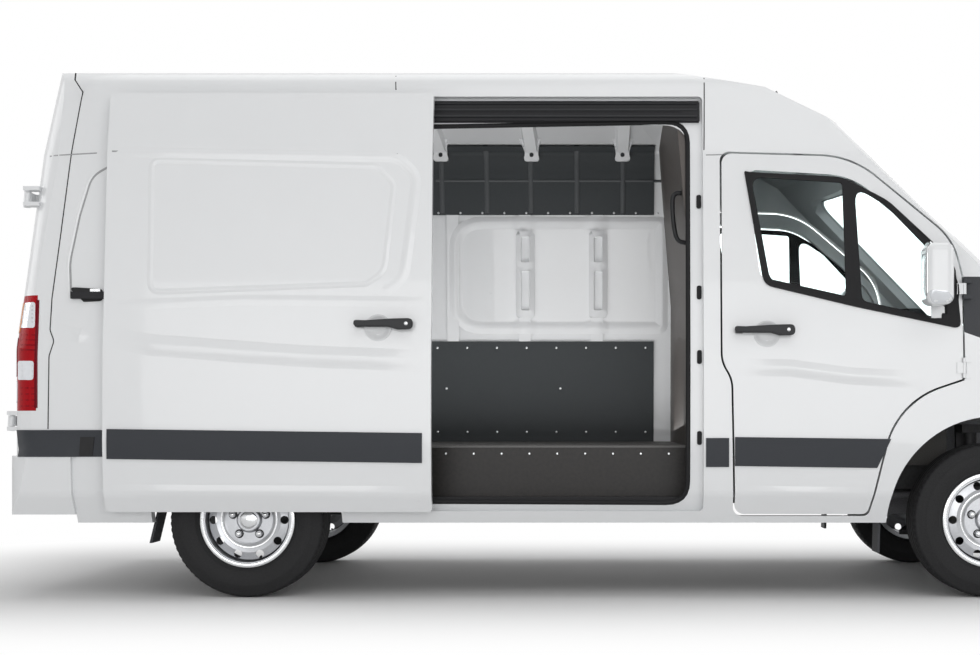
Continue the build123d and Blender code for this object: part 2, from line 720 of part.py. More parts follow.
def build_rim():
    """Steel wheel with its outer side at +Y: barrel, dished disc, hub, cap, nuts and vents."""
    seat = RIM_SEAT_RADIUS
    barrel = [
        (-RIM_SEAT_HALF - RIM_WALL, seat - RIM_WALL),
        (RIM_SEAT_HALF + RIM_WALL, seat - RIM_WALL),
        (RIM_SEAT_HALF + RIM_WALL, RIM_RADIUS, 3),
        (RIM_SEAT_HALF, RIM_RADIUS, 3),
        (RIM_SEAT_HALF, seat),
        (-RIM_SEAT_HALF, seat),
        (-RIM_SEAT_HALF, RIM_RADIUS, 3),
        (-RIM_SEAT_HALF - RIM_WALL, RIM_RADIUS, 3),
    ]
    face = DISC_FACE
    outer_line = [(22, seat - RIM_WALL + 1), (54, 184), (62, 150), (54, 124), (face, 108)]
    disc = [(a, r) for a, r in outer_line] + [(face, HUB_SLEEVE_RADIUS - 5)]
    disc += [(face - RIM_WALL, HUB_SLEEVE_RADIUS - 5)] + [(a - RIM_WALL, r) for a, r in reversed(outer_line)]
    hub = [
        (-HUB_LENGTH, HUB_BORE_RADIUS),
        (-HUB_LENGTH, HUB_SLEEVE_RADIUS),
        (face, HUB_SLEEVE_RADIUS),
        (face + 20, CAP_RADIUS, 6),
        (face + 20, 0.0),
        (face - 4, 0.0),
        (face - 4, HUB_BORE_RADIUS),
    ]
    rim = wheel_solid(barrel) + wheel_solid(disc) + wheel_solid(hub)
    for i in range(VENT_COUNT):
        angle = math.radians(360 / VENT_COUNT * (i + 0.5))
        x, z = VENT_CIRCLE_RADIUS * math.sin(angle), VENT_CIRCLE_RADIUS * math.cos(angle)
        rim = rim - cylinder_y(x, z, VENT_RADIUS, 20, 90)
    for i in range(BOLT_COUNT):
        angle = math.radians(360 / BOLT_COUNT * i)
        x, z = BOLT_CIRCLE / 2 * math.sin(angle), BOLT_CIRCLE / 2 * math.cos(angle)
        rim = rim + cylinder_y(x, z, NUT_RADIUS, face - 2, face + NUT_LENGTH)
    return rim


def placed_wheel(solid, x, side):
    turned = solid if side > 0 else mirror(solid, about=Plane.XZ)
    return Pos(x, side * TRACK_HALF, TYRE_RADIUS) * turned


def build_rear_axle():
    """Live axle with its differential, leaf springs, shackles and propeller shaft."""
    z = TYRE_RADIUS
    axle = cylinder_y(R, z, AXLE_RADIUS, -TRACK_HALF + HUB_LENGTH + 25, TRACK_HALF - HUB_LENGTH - 25)
    axle = axle + Pos(R, 0, z) * Sphere(DIFF_RADIUS)
    spindle_end = TRACK_HALF + DISC_FACE - 6
    axle = axle + cylinder_y(R, z, HUB_BORE_RADIUS - SHAFT_GAP, -spindle_end, spindle_end)
    axle = axle + rod((R, 0, z), (PROP_FRONT_X, 0, GEARBOX_Z), PROP_RADIUS)
    low, high = z + AXLE_RADIUS - 6, RAIL_BOTTOM_Z - 60
    leaf = [
        (R - LEAF_HALF, high),
        (R - 200, low, 900),
        (R + 200, low, 900),
        (R + LEAF_HALF, high),
        (R + LEAF_HALF, high + 34),
        (R + 200, low + 34, 900),
        (R - 200, low + 34, 900),
        (R - LEAF_HALF, high + 34),
    ]
    for side in (-1, 1):
        span = sorted((side * (LEAF_Y - 35), side * (LEAF_Y + 35)))
        axle = axle + side_prism(leaf, *span)
        for end in (-1, 1):
            x = R + end * (LEAF_HALF - 30)
            axle = axle + block(x - 25, x + 25, *span, high + 10, FLOOR_Z - FLOOR_THICKNESS - RUNNING_GAP)
    return axle


def build_front_suspension():
    """Cross beam, lower and upper arms that carry the knuckles, and dampers with their towers."""
    x, inner, outer = FRONT_AXLE_X, RAIL_HALF - 30, KINGPIN_HALF + 30
    beside_rail = RAIL_HALF + RAIL_WIDTH / 2 + RUNNING_GAP
    parts = block(x - 90, x + 90, -inner - 60, inner + 60, ARM_Z - 24, ARM_Z + 55)
    for side in (-1, 1):
        for z, near, reach in ((ARM_Z - 24, inner, 150), (KNUCKLE_TOP_Z + RUNNING_GAP, beside_rail, 90)):
            arm = [
                (x - reach, side * near, 20),
                (x + reach, side * near, 20),
                (x + 35, side * outer, 20),
                (x - 35, side * outer, 20),
            ]
            parts = parts + plan_prism(arm, z, z + 24)
        parts = parts + rod((x, side * 600, ARM_Z - 10), (x, side * 560, TOWER_Z - 10), DAMPER_RADIUS)
        for near, far, z_low, z_high in (
            (inner, beside_rail + 35, ARM_Z, RAIL_BOTTOM_Z - RUNNING_GAP),
            (beside_rail, beside_rail + 35, ARM_Z, TOWER_Z),
            (beside_rail, 620, TOWER_Z - 40, TOWER_Z),
        ):
            low, high = sorted((side * near, side * far))
            parts = parts + block(x - 50, x + 50, low, high, z_low, z_high)
    return parts


def build_knuckle(side):
    """Upright on the kingpin axis with the spindle that the wheel turns on."""
    y = side * KINGPIN_HALF
    upright = rod((FRONT_AXLE_X, y, ARM_Z + RUNNING_GAP), (FRONT_AXLE_X, y, KNUCKLE_TOP_Z), 30)
    web_span = sorted((y, side * (KINGPIN_HALF + 55)))
    web = block(FRONT_AXLE_X - 45, FRONT_AXLE_X + 45, *web_span, TYRE_RADIUS - 60, TYRE_RADIUS + 60)
    span = sorted((y, side * (TRACK_HALF + DISC_FACE - 6)))
    spindle = cylinder_y(FRONT_AXLE_X, TYRE_RADIUS, HUB_BORE_RADIUS - SHAFT_GAP, *span)
    arm = block(FRONT_AXLE_X - 160, FRONT_AXLE_X, y - 14, y + 14, TYRE_RADIUS - 75, TYRE_RADIUS - 50)
    return upright + web + spindle + arm


def rectangle(x, length, width):
    """The four corners of a rectangle centred on the middle plane."""
    return [(x + i * length / 2, j * width / 2) for i in (-1, 1) for j in (-1, 1)]


def build_floor(snug, edge_hull):
    """Cargo floor with its wheel boxes and the step inside the sliding door."""
    front = CAB_FLOOR_REAR_X
    floor = block(TAIL_FACE_X + 20, front, -1100, 1100, FLOOR_Z - FLOOR_THICKNESS, FLOOR_Z)
    rebate = block(-BIG, BIG, -1100, 1100, FLOOR_Z - LINING_REBATE, FLOOR_Z + 1)
    floor = floor - (rebate - (edge_hull & block(-BIG, PARTITION_X - 1, -1100, 1100, 0, BIG)))
    step_front, step_rear = APERTURE_FRONT_X + 20, APERTURE_REAR_X + 40
    well = block(step_rear, step_front, -1100, -STEP_INNER_HALF, 0, BIG)
    floor = floor - well - cylinder_y(R, TYRE_RADIUS, WHEEL_BOX_RADIUS, -1100, -WHEEL_BOX_INNER)
    floor = floor - cylinder_y(R, TYRE_RADIUS, WHEEL_BOX_RADIUS, WHEEL_BOX_INNER, 1100)
    step = block(step_rear - 15, step_front + 15, -1100, -STEP_INNER_HALF + 15, SILL_STEP_Z - 30, FLOOR_Z - 5)
    step = step - block(step_rear, step_front, -1100, -STEP_INNER_HALF, SILL_STEP_Z, BIG)
    floor = floor + step
    for side in (-1, 1):
        span = sorted((side * (WHEEL_BOX_INNER - 12), side * 1100))
        box = cylinder_y(R, TYRE_RADIUS, WHEEL_BOX_RADIUS + 12, *span)
        cavity = cylinder_y(R, TYRE_RADIUS, WHEEL_BOX_RADIUS, *sorted((side * WHEEL_BOX_INNER, side * 1100)))
        floor = floor + ((box - cavity) & block(-BIG, BIG, -1100, 1100, FLOOR_Z - FLOOR_THICKNESS - 140, BIG))
    floor = floor & snug
    for x, y in rectangle(LASHING_X, LASHING_LENGTH, LASHING_WIDTH):
        floor = floor - rod((x, y, FLOOR_Z - FLOOR_THICKNESS - 100), (x, y, FLOOR_Z + 9), LASHING_HOLE_RADIUS)
    return floor
def front_hinge_line(side):
    x = DOOR_FRONT_X + DOOR_GAP / 2
    return (x, side * FRONT_HINGE_Y, 0), (x, side * FRONT_HINGE_Y, 1000)


def rear_hinge_line(side):
    return (HINGE_LOW_X, side * HINGE_Y, HINGE_LOW_Z), (HINGE_HIGH_X, side * HINGE_Y, HINGE_HIGH_Z)


def side_block(side, x_low, x_high, y_near, y_far, z_low, z_high):
    """A block given by its distances from the middle plane, on one side of the van."""
    low, high = sorted((side * y_near, side * y_far))
    return block(x_low, x_high, low, high, z_low, z_high)


def knuckle_heights(z):
    """The heights of the lower and upper knuckle of a hinge."""
    reach = HINGE_EYE / 2 + PIN_GAP
    return ((z - reach - KNUCKLE_HEIGHT, z - reach), (z + reach, z + reach + KNUCKLE_HEIGHT))


def front_door_hinges(side):
    """Door side eyes, body side pins, and the pockets that both need, at each height."""
    low, high = front_hinge_line(side)
    x, y = low[0], FRONT_HINGE_Y
    radius = FRONT_HINGE_RADIUS
    hinges = {"eyes": [], "pins": [], "eye_room": [], "pin_room": []}
    for z in (FRONT_HINGE_LOW_Z, FRONT_HINGE_HIGH_Z):
        pin, eye = hinge_parts(low, high, z, radius, FRONT_PIN_RADIUS)
        half = HINGE_EYE / 2
        bore = rod((x, side * y, z - BIG / 10), (x, side * y, z + BIG / 10), FRONT_PIN_RADIUS + SHAFT_GAP)
        leaf = side_block(side, x - 34, x, y - 45, y + radius / 2, z - half, z + half)
        hinges["eyes"].append(eye + (leaf - bore))
        for z_low, z_high in knuckle_heights(z):
            pin = pin + side_block(side, x, x + 34, y - 45, y + radius / 2, z_low, z_high)
            pocket = rod((x, side * y, z_low - 1), (x, side * y, z_high + 1), radius + POCKET)
            hinges["pin_room"].append(pocket)
        hinges["pins"].append(pin)
        pocket = rod((x, side * y, z - half - 1), (x, side * y, z + half + 1), radius + POCKET)
        hinges["eye_room"].append(pocket)
    return hinges


def rear_door_hinges(side):
    """Door side straps with their eyes, and body side pins with their brackets."""
    low, high = rear_hinge_line(side)
    hinges = {"straps": [], "pins": []}
    for x, z in ((HINGE_LOW_X, HINGE_LOW_Z), (HINGE_HIGH_X, HINGE_HIGH_Z)):
        pin, eye = hinge_parts(low, high, z, HINGE_RADIUS, HINGE_PIN_RADIUS)
        half = HINGE_EYE / 2
        bore = hinge_rod(low, high, z - half - 9, z + half + 9, HINGE_PIN_RADIUS + SHAFT_GAP)
        strap = side_block(side, x - 6, x + 18, STRAP_END_Y, HINGE_Y, z - half + 2, z + half - 2)
        foot = side_block(side, x - 6, x + 50, STRAP_END_Y, REAR_DOOR_HALF - 5, z - half + 2, z + half - 2)
        hinges["straps"].append(eye + ((strap + foot) - bore))
        for z_low, z_high in knuckle_heights(z):
            pin = pin + side_block(side, x, x + 74, HINGE_Y - 8, HINGE_Y + 55, z_low + 1, z_high - 1)
        hinges["pins"].append(pin)
    return hinges


def build_front_door(hulls, side):
    outline = door_outline()
    cutter, inner_cutter = door_cutter(side, outline), door_cutter(side, grown(outline, -DOOR_STEP))
    door = build_hinged_door(hulls, cutter, inner_cutter) - door_cutter(side, window_outline())
    hinges = front_door_hinges(side)
    for room in hinges["pin_room"]:
        door = door - room
    for eye in hinges["eyes"]:
        door = door + eye
    return door


def build_mirror(hulls, side):
    """Door mirror: a sail panel in the window corner, an arm and the housing."""
    corner = door_cutter(side, grown(window_outline(), -RUNNING_GAP)) & block(
        MIRROR_SAIL_X, BIG, -1300, 1300, 0, BIG
    )
    sail = (hulls[0] - hulls[GLASS_SET + GLASS]) & corner
    housing = side_block(side, R + 3085, R + 3210, MIRROR_NEAR_Y, MIRROR_FAR_Y, 1335, 1612)
    housing = fillet(housing.edges(), 38)
    arm = side_block(side, R + 3160, R + 3205, BELT_HALF - 20, MIRROR_NEAR_Y + 30, 1370, 1430)
    return sail + arm + housing


def build_glass(hulls, side):
    pane = door_cutter(side, grown(window_outline(), -RUNNING_GAP)) & block(
        -BIG, MIRROR_SAIL_X - RUNNING_GAP, -1300, 1300, 0, BIG
    )
    return (hulls[GLASS_SET] - hulls[GLASS_SET + GLASS]) & pane


def build_windscreen(hulls):
    outline = end_prism(grown(screen_outline(), -RUNNING_GAP), R + 2600, BIG)
    return (hulls[GLASS_SET] - hulls[GLASS_SET + GLASS]) & outline


def build_rear_door(hulls, side):
    end = TAIL_FACE_X + 400
    outline = rear_door_outline(side)
    inner = end_prism(grown(outline, -DOOR_STEP), -BIG, end)
    door = build_hinged_door(hulls, end_prism(outline, -BIG, end), inner)
    for strap in rear_door_hinges(side)["straps"]:
        door = door + strap
    return door


def build_cab_floor(snug, nose_room):
    """Cab floor, firewall and the wheel houses over the steered wheels."""
    bottom = CAB_FLOOR_Z - FLOOR_THICKNESS
    floor = block(CAB_FLOOR_REAR_X + RUNNING_GAP, FIREWALL_X, -1100, 1100, bottom, CAB_FLOOR_Z) & snug
    floor = floor + (block(FIREWALL_X - FIREWALL_THICKNESS, FIREWALL_X, -1000, 1000, bottom, 1190) & snug)
    behind = block(-BIG, FIREWALL_X, -1100, 1100, bottom, BIG)
    ahead = block(FIREWALL_X - FIREWALL_THICKNESS, BIG, -1100, 1100, bottom, BIG) & nose_room
    for side in (-1, 1):
        floor = floor - arch_ring(side, WHEEL_HOUSE_HALF, 1100, FRONT_ARCH_RADIUS, 0)
        wall = arch_ring(side, WHEEL_HOUSE_HALF - 12, 900, FRONT_ARCH_RADIUS, 0)
        wall = wall - arch_ring(side, WHEEL_HOUSE_HALF, 901, FRONT_ARCH_RADIUS - 12, 0)
        liner = arch_ring(side, 640, 900, FRONT_ARCH_RADIUS, FRONT_ARCH_RADIUS - 12)
        floor = floor + (wall & behind) + (liner & ahead)
    return floor


def arch_ring(side, near, far, outer, inner):
    """A ring about the front axle on one side of the van, or a full cylinder where inner is 0."""
    low, high = sorted((side * near, side * far))
    ring = cylinder_y(FRONT_AXLE_X, TYRE_RADIUS, outer, low, high)
    return ring - cylinder_y(FRONT_AXLE_X, TYRE_RADIUS, inner, low - 1, high + 1) if inner else ring


def build_dashboard(snug):
    front = FIREWALL_X - FIREWALL_THICKNESS - RUNNING_GAP
    outline = [
        (front, 860),
        (front, 1215),
        (R + 3180, 1225, 40),
        (R + 3010, 1130, 40),
        (R + 3020, 960, 60),
        (R + 3200, 860, 60),
    ]
    dashboard = side_prism(outline, -DASH_HALF, DASH_HALF) & snug
    return dashboard - build_steering_column(COLUMN_RADIUS + RUNNING_GAP)


def build_seat(y_low, y_high):
    """Seat box, cushion, back and head restraints as one closed shape."""
    base = block(R + 2260, R + 2700, y_low + 40, y_high - 40, CAB_FLOOR_Z + RUNNING_GAP, 900)
    cushion = side_prism(
        [(R + 2230, 880), (R + 2700, 880, 30), (R + 2710, 1010, 50), (R + 2230, 980)], y_low, y_high
    )
    back = side_prism(
        [
            (R + 2230, 900),
            (R + 2370, 900, 30),
            (R + 2250, 1600, 50),
            (R + 2130, 1600, 40),
            (R + 2190, 1100, 200),
        ],
        y_low,
        y_high,
    )
    seat = base + cushion + back
    count = round((y_high - y_low) / SEAT_WIDTH)
    for i in range(count):
        middle = y_low + (y_high - y_low) * (i + 0.5) / count
        rest = side_prism(
            [(R + 2140, 1590), (R + 2230, 1590), (R + 2225, 1800, 40), (R + 2130, 1800, 40)],
            middle - 130,
            middle + 130,
        )
        seat = seat + rest
    return seat


def build_steering_wheel():
    """Rim, hub and three spokes about the column axis, which leans towards the driver."""
    rim = Torus(STEER_RADIUS, 15)
    hub = Cylinder(55, STEER_HUB_HEIGHT)
    wheel = rim + hub
    for angle in (90, 210, 330):
        wheel = wheel + Rot(0, 0, angle) * Pos(STEER_RADIUS / 2, 0, 0) * Box(STEER_RADIUS, 36, 14)
    return steering_place() * wheel


def steering_place():
    return Pos(STEER_X, STEER_Y, STEER_Z) * Rot(0, STEER_LEAN, 0)


def build_steering_column(radius):
    """The column below the steering wheel, which ends inside the dashboard."""
    top = STEER_HUB_HEIGHT / 2 + RUNNING_GAP
    return steering_place() * Pos(0, 0, -top - COLUMN_LENGTH / 2) * Cylinder(radius, COLUMN_LENGTH)


def build_chassis_rails(hulls, nose_room):
    rails = []
    for side in (-1, 1):
        half = RAIL_WIDTH / 2
        low, high = side * RAIL_HALF - half, side * RAIL_HALF + half
        rear = block(-BIG, NOSE_SPLIT_X, low, high, RAIL_BOTTOM_Z, RAIL_TOP_Z) & hulls[SNUG]
        front = block(NOSE_SPLIT_X, BIG, low, high, RAIL_BOTTOM_Z, RAIL_TOP_Z) & nose_room
        rails.append(rear + front)
    frame = rails[0] + rails[1]
    inner = RAIL_HALF - RAIL_WIDTH / 4
    for x in CROSS_MEMBERS:
        frame = frame + block(x - 30, x + 30, -inner, inner, RAIL_BOTTOM_Z + 30, RAIL_TOP_Z)
    for end in (-1, 1):
        hole_x = TOW_HOLES_X + end * TOW_HOLE_SPACING / 2
        frame = frame - cylinder_y(hole_x, (RAIL_BOTTOM_Z + RAIL_TOP_Z) / 2, TOW_HOLE_RADIUS, -1000, 1000)
    return frame


def build_floor_beams():
    half, low = FLOOR_BEAM_HALF, RAIL_TOP_Z + RUNNING_GAP
    return [block(x - 40, x + 40, -half, half, low, FLOOR_Z - 20) for x in FLOOR_BEAMS]


def build_partition(snug):
    """Bulkhead behind the seats, whose upper part leans back."""
    x = PARTITION_X
    low = FLOOR_Z - LINING_REBATE + RUNNING_GAP
    outline = [
        (x, low),
        (x + 30, low),
        (x + 30, 1500),
        (x - 60, BIG / 2 + 600),
        (x - 90, BIG / 2 + 600),
        (x, 1500),
    ]
    return side_prism(outline, -1100, 1100) & snug


def build_linings(hulls):
    """Upper and lower side linings and the posts between them."""
    sheet = hulls[SNUG] - hulls[SNUG + LINING]
    rear, front = TAIL_FACE_X + WALL + LINING_SETBACK, PARTITION_X - 100
    boxes = cylinder_y(R, TYRE_RADIUS, REAR_ARCH_RADIUS + 1, -1100, 1100)
    foot = FLOOR_Z - LINING_REBATE + RUNNING_GAP
    lower, upper, posts = [], [], []
    for side, end in ((1, front), (-1, APERTURE_REAR_X - 40)):
        low = side_block(side, rear, end, LINING_INNER_HALF, 1100, foot, LINING_LOW_Z)
        high = side_block(side, rear, end, LINING_INNER_HALF, 1100, LINING_HIGH_Z, LINING_TOP_Z)
        lower.append((sheet & low) - boxes)
        upper.append(sheet & high)
    for x in POSTS:
        for side in (-1, 1):
            if side > 0 or x < APERTURE_REAR_X - 80:
                post = side_block(side, x - 35, x + 35, 500, 1100, LINING_LOW_Z + 1, LINING_HIGH_Z - 1)
                posts.append(sheet & post)
    return lower, upper, posts


def build_slide_gear(hulls):
    """Rails on the body and the three carriers that hold the open sliding door."""
    upper = (hulls[GLASS_SET + GLASS] - hulls[RECESS_DEPTH]) & block(
        SLIDE_FRONT_X - SLIDE_WIDTH + 40, SLIDE_FRONT_X - 12, -1300, -500, UPPER_RAIL_LOW_Z, UPPER_RAIL_TOP_Z
    )
    upper = Pos(0, -RUNNING_GAP, 0) * upper
    middle = block(R - 790, SLIDE_FRONT_X - SLIDE_WIDTH - 4, -MIDDLE_RAIL_FAR, -MIDDLE_RAIL_NEAR, 1375, 1407)
    lower = block(APERTURE_REAR_X + 80, APERTURE_FRONT_X - 40, -905, -860, SILL_STEP_Z + RUNNING_GAP, 462)
    carriers = [
        block(R - 560, R - 480, -MIDDLE_RAIL_FAR - 10.3, -MIDDLE_RAIL_FAR - RUNNING_GAP, 1380, 1402),
        block(R + 760, R + 820, -1023.2, -905.3, 446, 462),
        block(R + 760, R + 820, -948.7, -906.1, 2225, 2265),
    ]
    return upper, middle, lower, carriers


def build_mud_flaps():
    flaps = []
    for side in (-1, 1):
        rear = [(R - 397, 519.5), (R - 409, 519.5), (R - 475, 245), (R - 463, 245)]
        front = [(R + 2950, 599.5), (R + 2938, 599.5), (R + 2925, 200), (R + 2937, 200)]
        for outline in (rear, front):
            flaps.append(side_prism(outline, *sorted((side * 740, side * 868))))
    return flaps


def build_exhaust():
    """Front pipe, silencer and tail pipe hung below the frame on the right."""
    y, z = -EXHAUST_Y, EXHAUST_Z
    exhaust = rod((R + 3440, y, z), (R - 960, y, z), 26)
    exhaust = exhaust + block(R + 1250, R + 1850, y - 40, y + 110, z - 95, z + 25)
    for x in (R + 1100, R - 800):
        exhaust = exhaust + block(x - 10, x + 10, y - 5, y + 5, z + 20, RAIL_TOP_Z)
    return exhaust


def build_fuel_tank():
    tank = block(R + 2150, R + 2850, 490, 850, 370, RAIL_TOP_Z)
    return fillet(tank.faces().sort_by(Axis.Z)[0].edges(), 40)


def build_engine():
    """Engine and gearbox as one plain block on its mounts."""
    engine = block(FIREWALL_X + 40, R + 4120, -280, 280, 300, 900)
    engine = engine + block(PROP_FRONT_X + PROP_RADIUS, FIREWALL_X + 60, -140, 140, 340, 560)
    mount = RAIL_HALF - RAIL_WIDTH / 2 - RUNNING_GAP
    return engine + block(R + 3750, R + 3850, -mount, mount, RAIL_BOTTOM_Z + 20, RAIL_TOP_Z - 30)


def write_body(hulls, shell, recess):
    for side, name in ((-1, "right"), (1, "left")):
        panel = build_side_panel(shell, recess, side)
        for pin in rear_door_hinges(side)["pins"]:
            panel = panel + pin
        write(f"side_panel_{name}", panel)
        write(f"front_door_{name}", build_front_door(hulls, side))
        write(f"front_door_glass_{name}", build_glass(hulls, side))
        write(f"mirror_{name}", build_mirror(hulls, side))
        write(f"rear_door_{name}", build_rear_door(hulls, side))
    write("roof", build_roof(shell, recess))
    write("windscreen", build_windscreen(hulls))
    rear_opening = end_prism(rear_opening_outline(), -BIG, TAIL_FACE_X + 400)
    write("tail_lamps", *[shell & tail_lamp_zone(side) - rear_opening for side in (-1, 1)])
    bumper = (upper_hull(-BUMPER_STAND) - hulls[WALL]) & block(
        -BIG, BUMPER_SEAM_X, -1200, 1200, REAR_BUMPER_BOTTOM_Z, REAR_BUMPER_TOP_Z
    )
    write("rear_bumper", bumper)
    slide = (hulls[0] - hulls[SLIDE_DEPTH]) & side_prism(slide_outline(), -1300, -500)
    write("sliding_door", Pos(-SLIDE_TRAVEL, -SLIDE_STANDOFF, 0) * slide)
    upper, middle, lower, carriers = build_slide_gear(hulls)
    write("sliding_door_gear", upper, middle, lower, *carriers)


def write_nose(hulls, shell):
    nose = build_nose(shell, hulls)
    for i, side in enumerate((-1, 1)):
        hinges = front_door_hinges(side)
        for room in hinges["eye_room"]:
            nose["fenders"][i] = nose["fenders"][i] - room
            nose["cowl"][0] = nose["cowl"][0] - room
        nose["fenders"][i] = nose["fenders"][i] + hinges["pins"][0]
        nose["cowl"][0] = nose["cowl"][0] + hinges["pins"][1]
    for name, solids in nose.items():
        write(name, *solids)


def write_interior(hulls, nose_room):
    snug = hulls[SNUG]
    floor = build_floor(snug, hulls[FLOOR_EDGE])
    for beam in build_floor_beams():
        floor = floor + beam
    write("cargo_floor", floor)
    write("cab_floor", build_cab_floor(snug, nose_room))
    write("partition", build_partition(snug))
    lower, upper, posts = build_linings(hulls)
    write("side_linings", *lower, *upper)
    write("wall_posts", *posts)
    write("dashboard", build_dashboard(snug), build_steering_column(COLUMN_RADIUS))
    driver = build_seat(DRIVER_Y - SEAT_WIDTH / 2, DRIVER_Y + SEAT_WIDTH / 2)
    write("cab_seats", driver, build_seat(-DRIVER_Y - SEAT_WIDTH / 2, -DRIVER_Y + SEAT_WIDTH * 1.5))
    write("steering_wheel", build_steering_wheel())


def write_chassis(hulls, nose_room):
    write("chassis_rails", build_chassis_rails(hulls, nose_room))
    write("engine_block", build_engine())
    write("fuel_tank", build_fuel_tank())
    write("exhaust", build_exhaust())
    write("mud_flaps", *build_mud_flaps())
    write("rear_axle", build_rear_axle())
    write("front_suspension", build_front_suspension())
    rim, tyre = build_rim(), build_tyre()
    for side, name in ((-1, "right"), (1, "left")):
        write(f"knuckle_{name}", build_knuckle(side))
        for x, place in ((FRONT_AXLE_X, "front"), (REAR_AXLE_X, "rear")):
            write(f"wheel_{place}_{name}", placed_wheel(rim, x, side))
            write(f"tyre_{place}_{name}", placed_wheel(tyre, x, side))


def main():
    hulls = body_hulls()
    shell = hulls[0] - hulls[WALL]
    recess = hulls[0] - hulls[RECESS_DEPTH]
    nose_room = nose_hull(SNUG)
    write_chassis(hulls, nose_room)
    write_interior(hulls, nose_room)
    write_body(hulls, shell, recess)
    write_nose(hulls, shell)


main()
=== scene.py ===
import math
from contextlib import contextmanager

import bmesh
import bpy
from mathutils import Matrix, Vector
from mathutils.bvhtree import BVHTree
from mathutils.geometry import delaunay_2d_cdt


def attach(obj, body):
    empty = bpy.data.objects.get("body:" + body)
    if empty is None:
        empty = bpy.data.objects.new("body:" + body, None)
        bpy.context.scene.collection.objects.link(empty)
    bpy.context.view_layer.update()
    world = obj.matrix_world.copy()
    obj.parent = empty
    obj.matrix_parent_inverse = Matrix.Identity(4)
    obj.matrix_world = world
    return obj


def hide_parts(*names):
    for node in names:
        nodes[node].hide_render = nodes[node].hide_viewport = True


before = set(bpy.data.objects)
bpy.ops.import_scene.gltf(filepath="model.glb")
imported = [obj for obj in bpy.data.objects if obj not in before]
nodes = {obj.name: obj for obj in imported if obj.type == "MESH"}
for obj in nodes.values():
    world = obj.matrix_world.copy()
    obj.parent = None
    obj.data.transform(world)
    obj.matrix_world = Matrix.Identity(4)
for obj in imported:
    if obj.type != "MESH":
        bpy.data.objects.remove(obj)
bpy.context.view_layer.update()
scene = bpy.context.scene

# Metres, +X forward, +Y to the van's left, +Z up. R is the rear axle.
# The camera stands square to the van's right side. A pixel of the photograph is a ray from it.
R = -1.675
FRONT_AXLE = 1.760
FOCAL_PX = 1466
CENTRE_PX = (600, 425)
IMAGE = (980, 655)
PIXEL = 0.00457
EYE = Vector((R + 1.631, -7.720, 0.797))
SENSOR_MM = 36
SIDES = {"right": -1, "left": 1}


def make_camera():
    """The photograph's camera, with its middle away from the picture's middle."""
    data = bpy.data.cameras.new("camera")
    data.lens = SENSOR_MM * FOCAL_PX / IMAGE[0]
    data.sensor_width = SENSOR_MM
    data.shift_x = (IMAGE[0] / 2 - CENTRE_PX[0]) / IMAGE[0]
    data.shift_y = (CENTRE_PX[1] - IMAGE[1] / 2) / IMAGE[0]
    data.clip_end = 200
    camera = bpy.data.objects.new("camera", data)
    camera.location = EYE
    camera.rotation_euler = (math.radians(90), 0, 0)
    scene.collection.objects.link(camera)
    scene.camera = camera


make_camera()


SHINE = "Specular_IOR_Level"


def add_node(tree, kind, *values, operation=None, **named):
    """A shader node. Its inputs take plain values or the outputs of other nodes."""
    made = tree.nodes.new("ShaderNode" + kind)
    if operation:
        made.operation = operation
    fill_inputs(tree, made, values, named)
    return made


def fill_inputs(tree, made, values, named):
    """Give a node's inputs, by number and by name, their values or links."""
    for key, value in (*enumerate(values), *named.items()):
        socket = made.inputs[key.replace("_", " ") if isinstance(key, str) else key]
        if isinstance(value, bpy.types.NodeSocket):
            tree.links.new(value, socket)
        else:
            socket.default_value = value


def material(name, color, rough, scale, vary, bump=0.0, coat=0.0, metal=0.0, **extra):
    """A surface with noise in its colour and roughness, and a fine bump where the real one has a grain."""
    mat = bpy.data.materials.new(name)
    mat.use_nodes = True
    tree = mat.node_tree
    shader = tree.nodes["Principled BSDF"]
    coords = add_node(tree, "TexCoord")
    noise = add_node(tree, "TexNoise", Vector=coords.outputs["Object"], Scale=scale, Detail=4).outputs["Fac"]
    ramp = add_node(tree, "ValToRGB", Fac=noise)
    dark, light = ramp.color_ramp.elements
    dark.color = [c * (1 - vary) for c in color] + [1]
    light.color = [min(1.0, c * (1 + vary)) for c in color] + [1]
    dark.position, light.position = 0.3, 0.7
    low, high = max(0.02, rough * 0.85), min(1.0, rough * 1.15)
    spread = add_node(tree, "MapRange", Value=noise, To_Min=low, To_Max=high)
    extra |= {"Metallic": metal, "Coat_Weight": coat, "Base_Color": ramp.outputs["Color"]}
    fill_inputs(tree, shader, (), extra | {"Roughness": spread.outputs["Result"]})
    if bump:
        bumps = add_node(tree, "Bump", Strength=bump, Distance=0.001, Height=noise)
        tree.links.new(bumps.outputs["Normal"], shader.inputs["Normal"])
    return mat


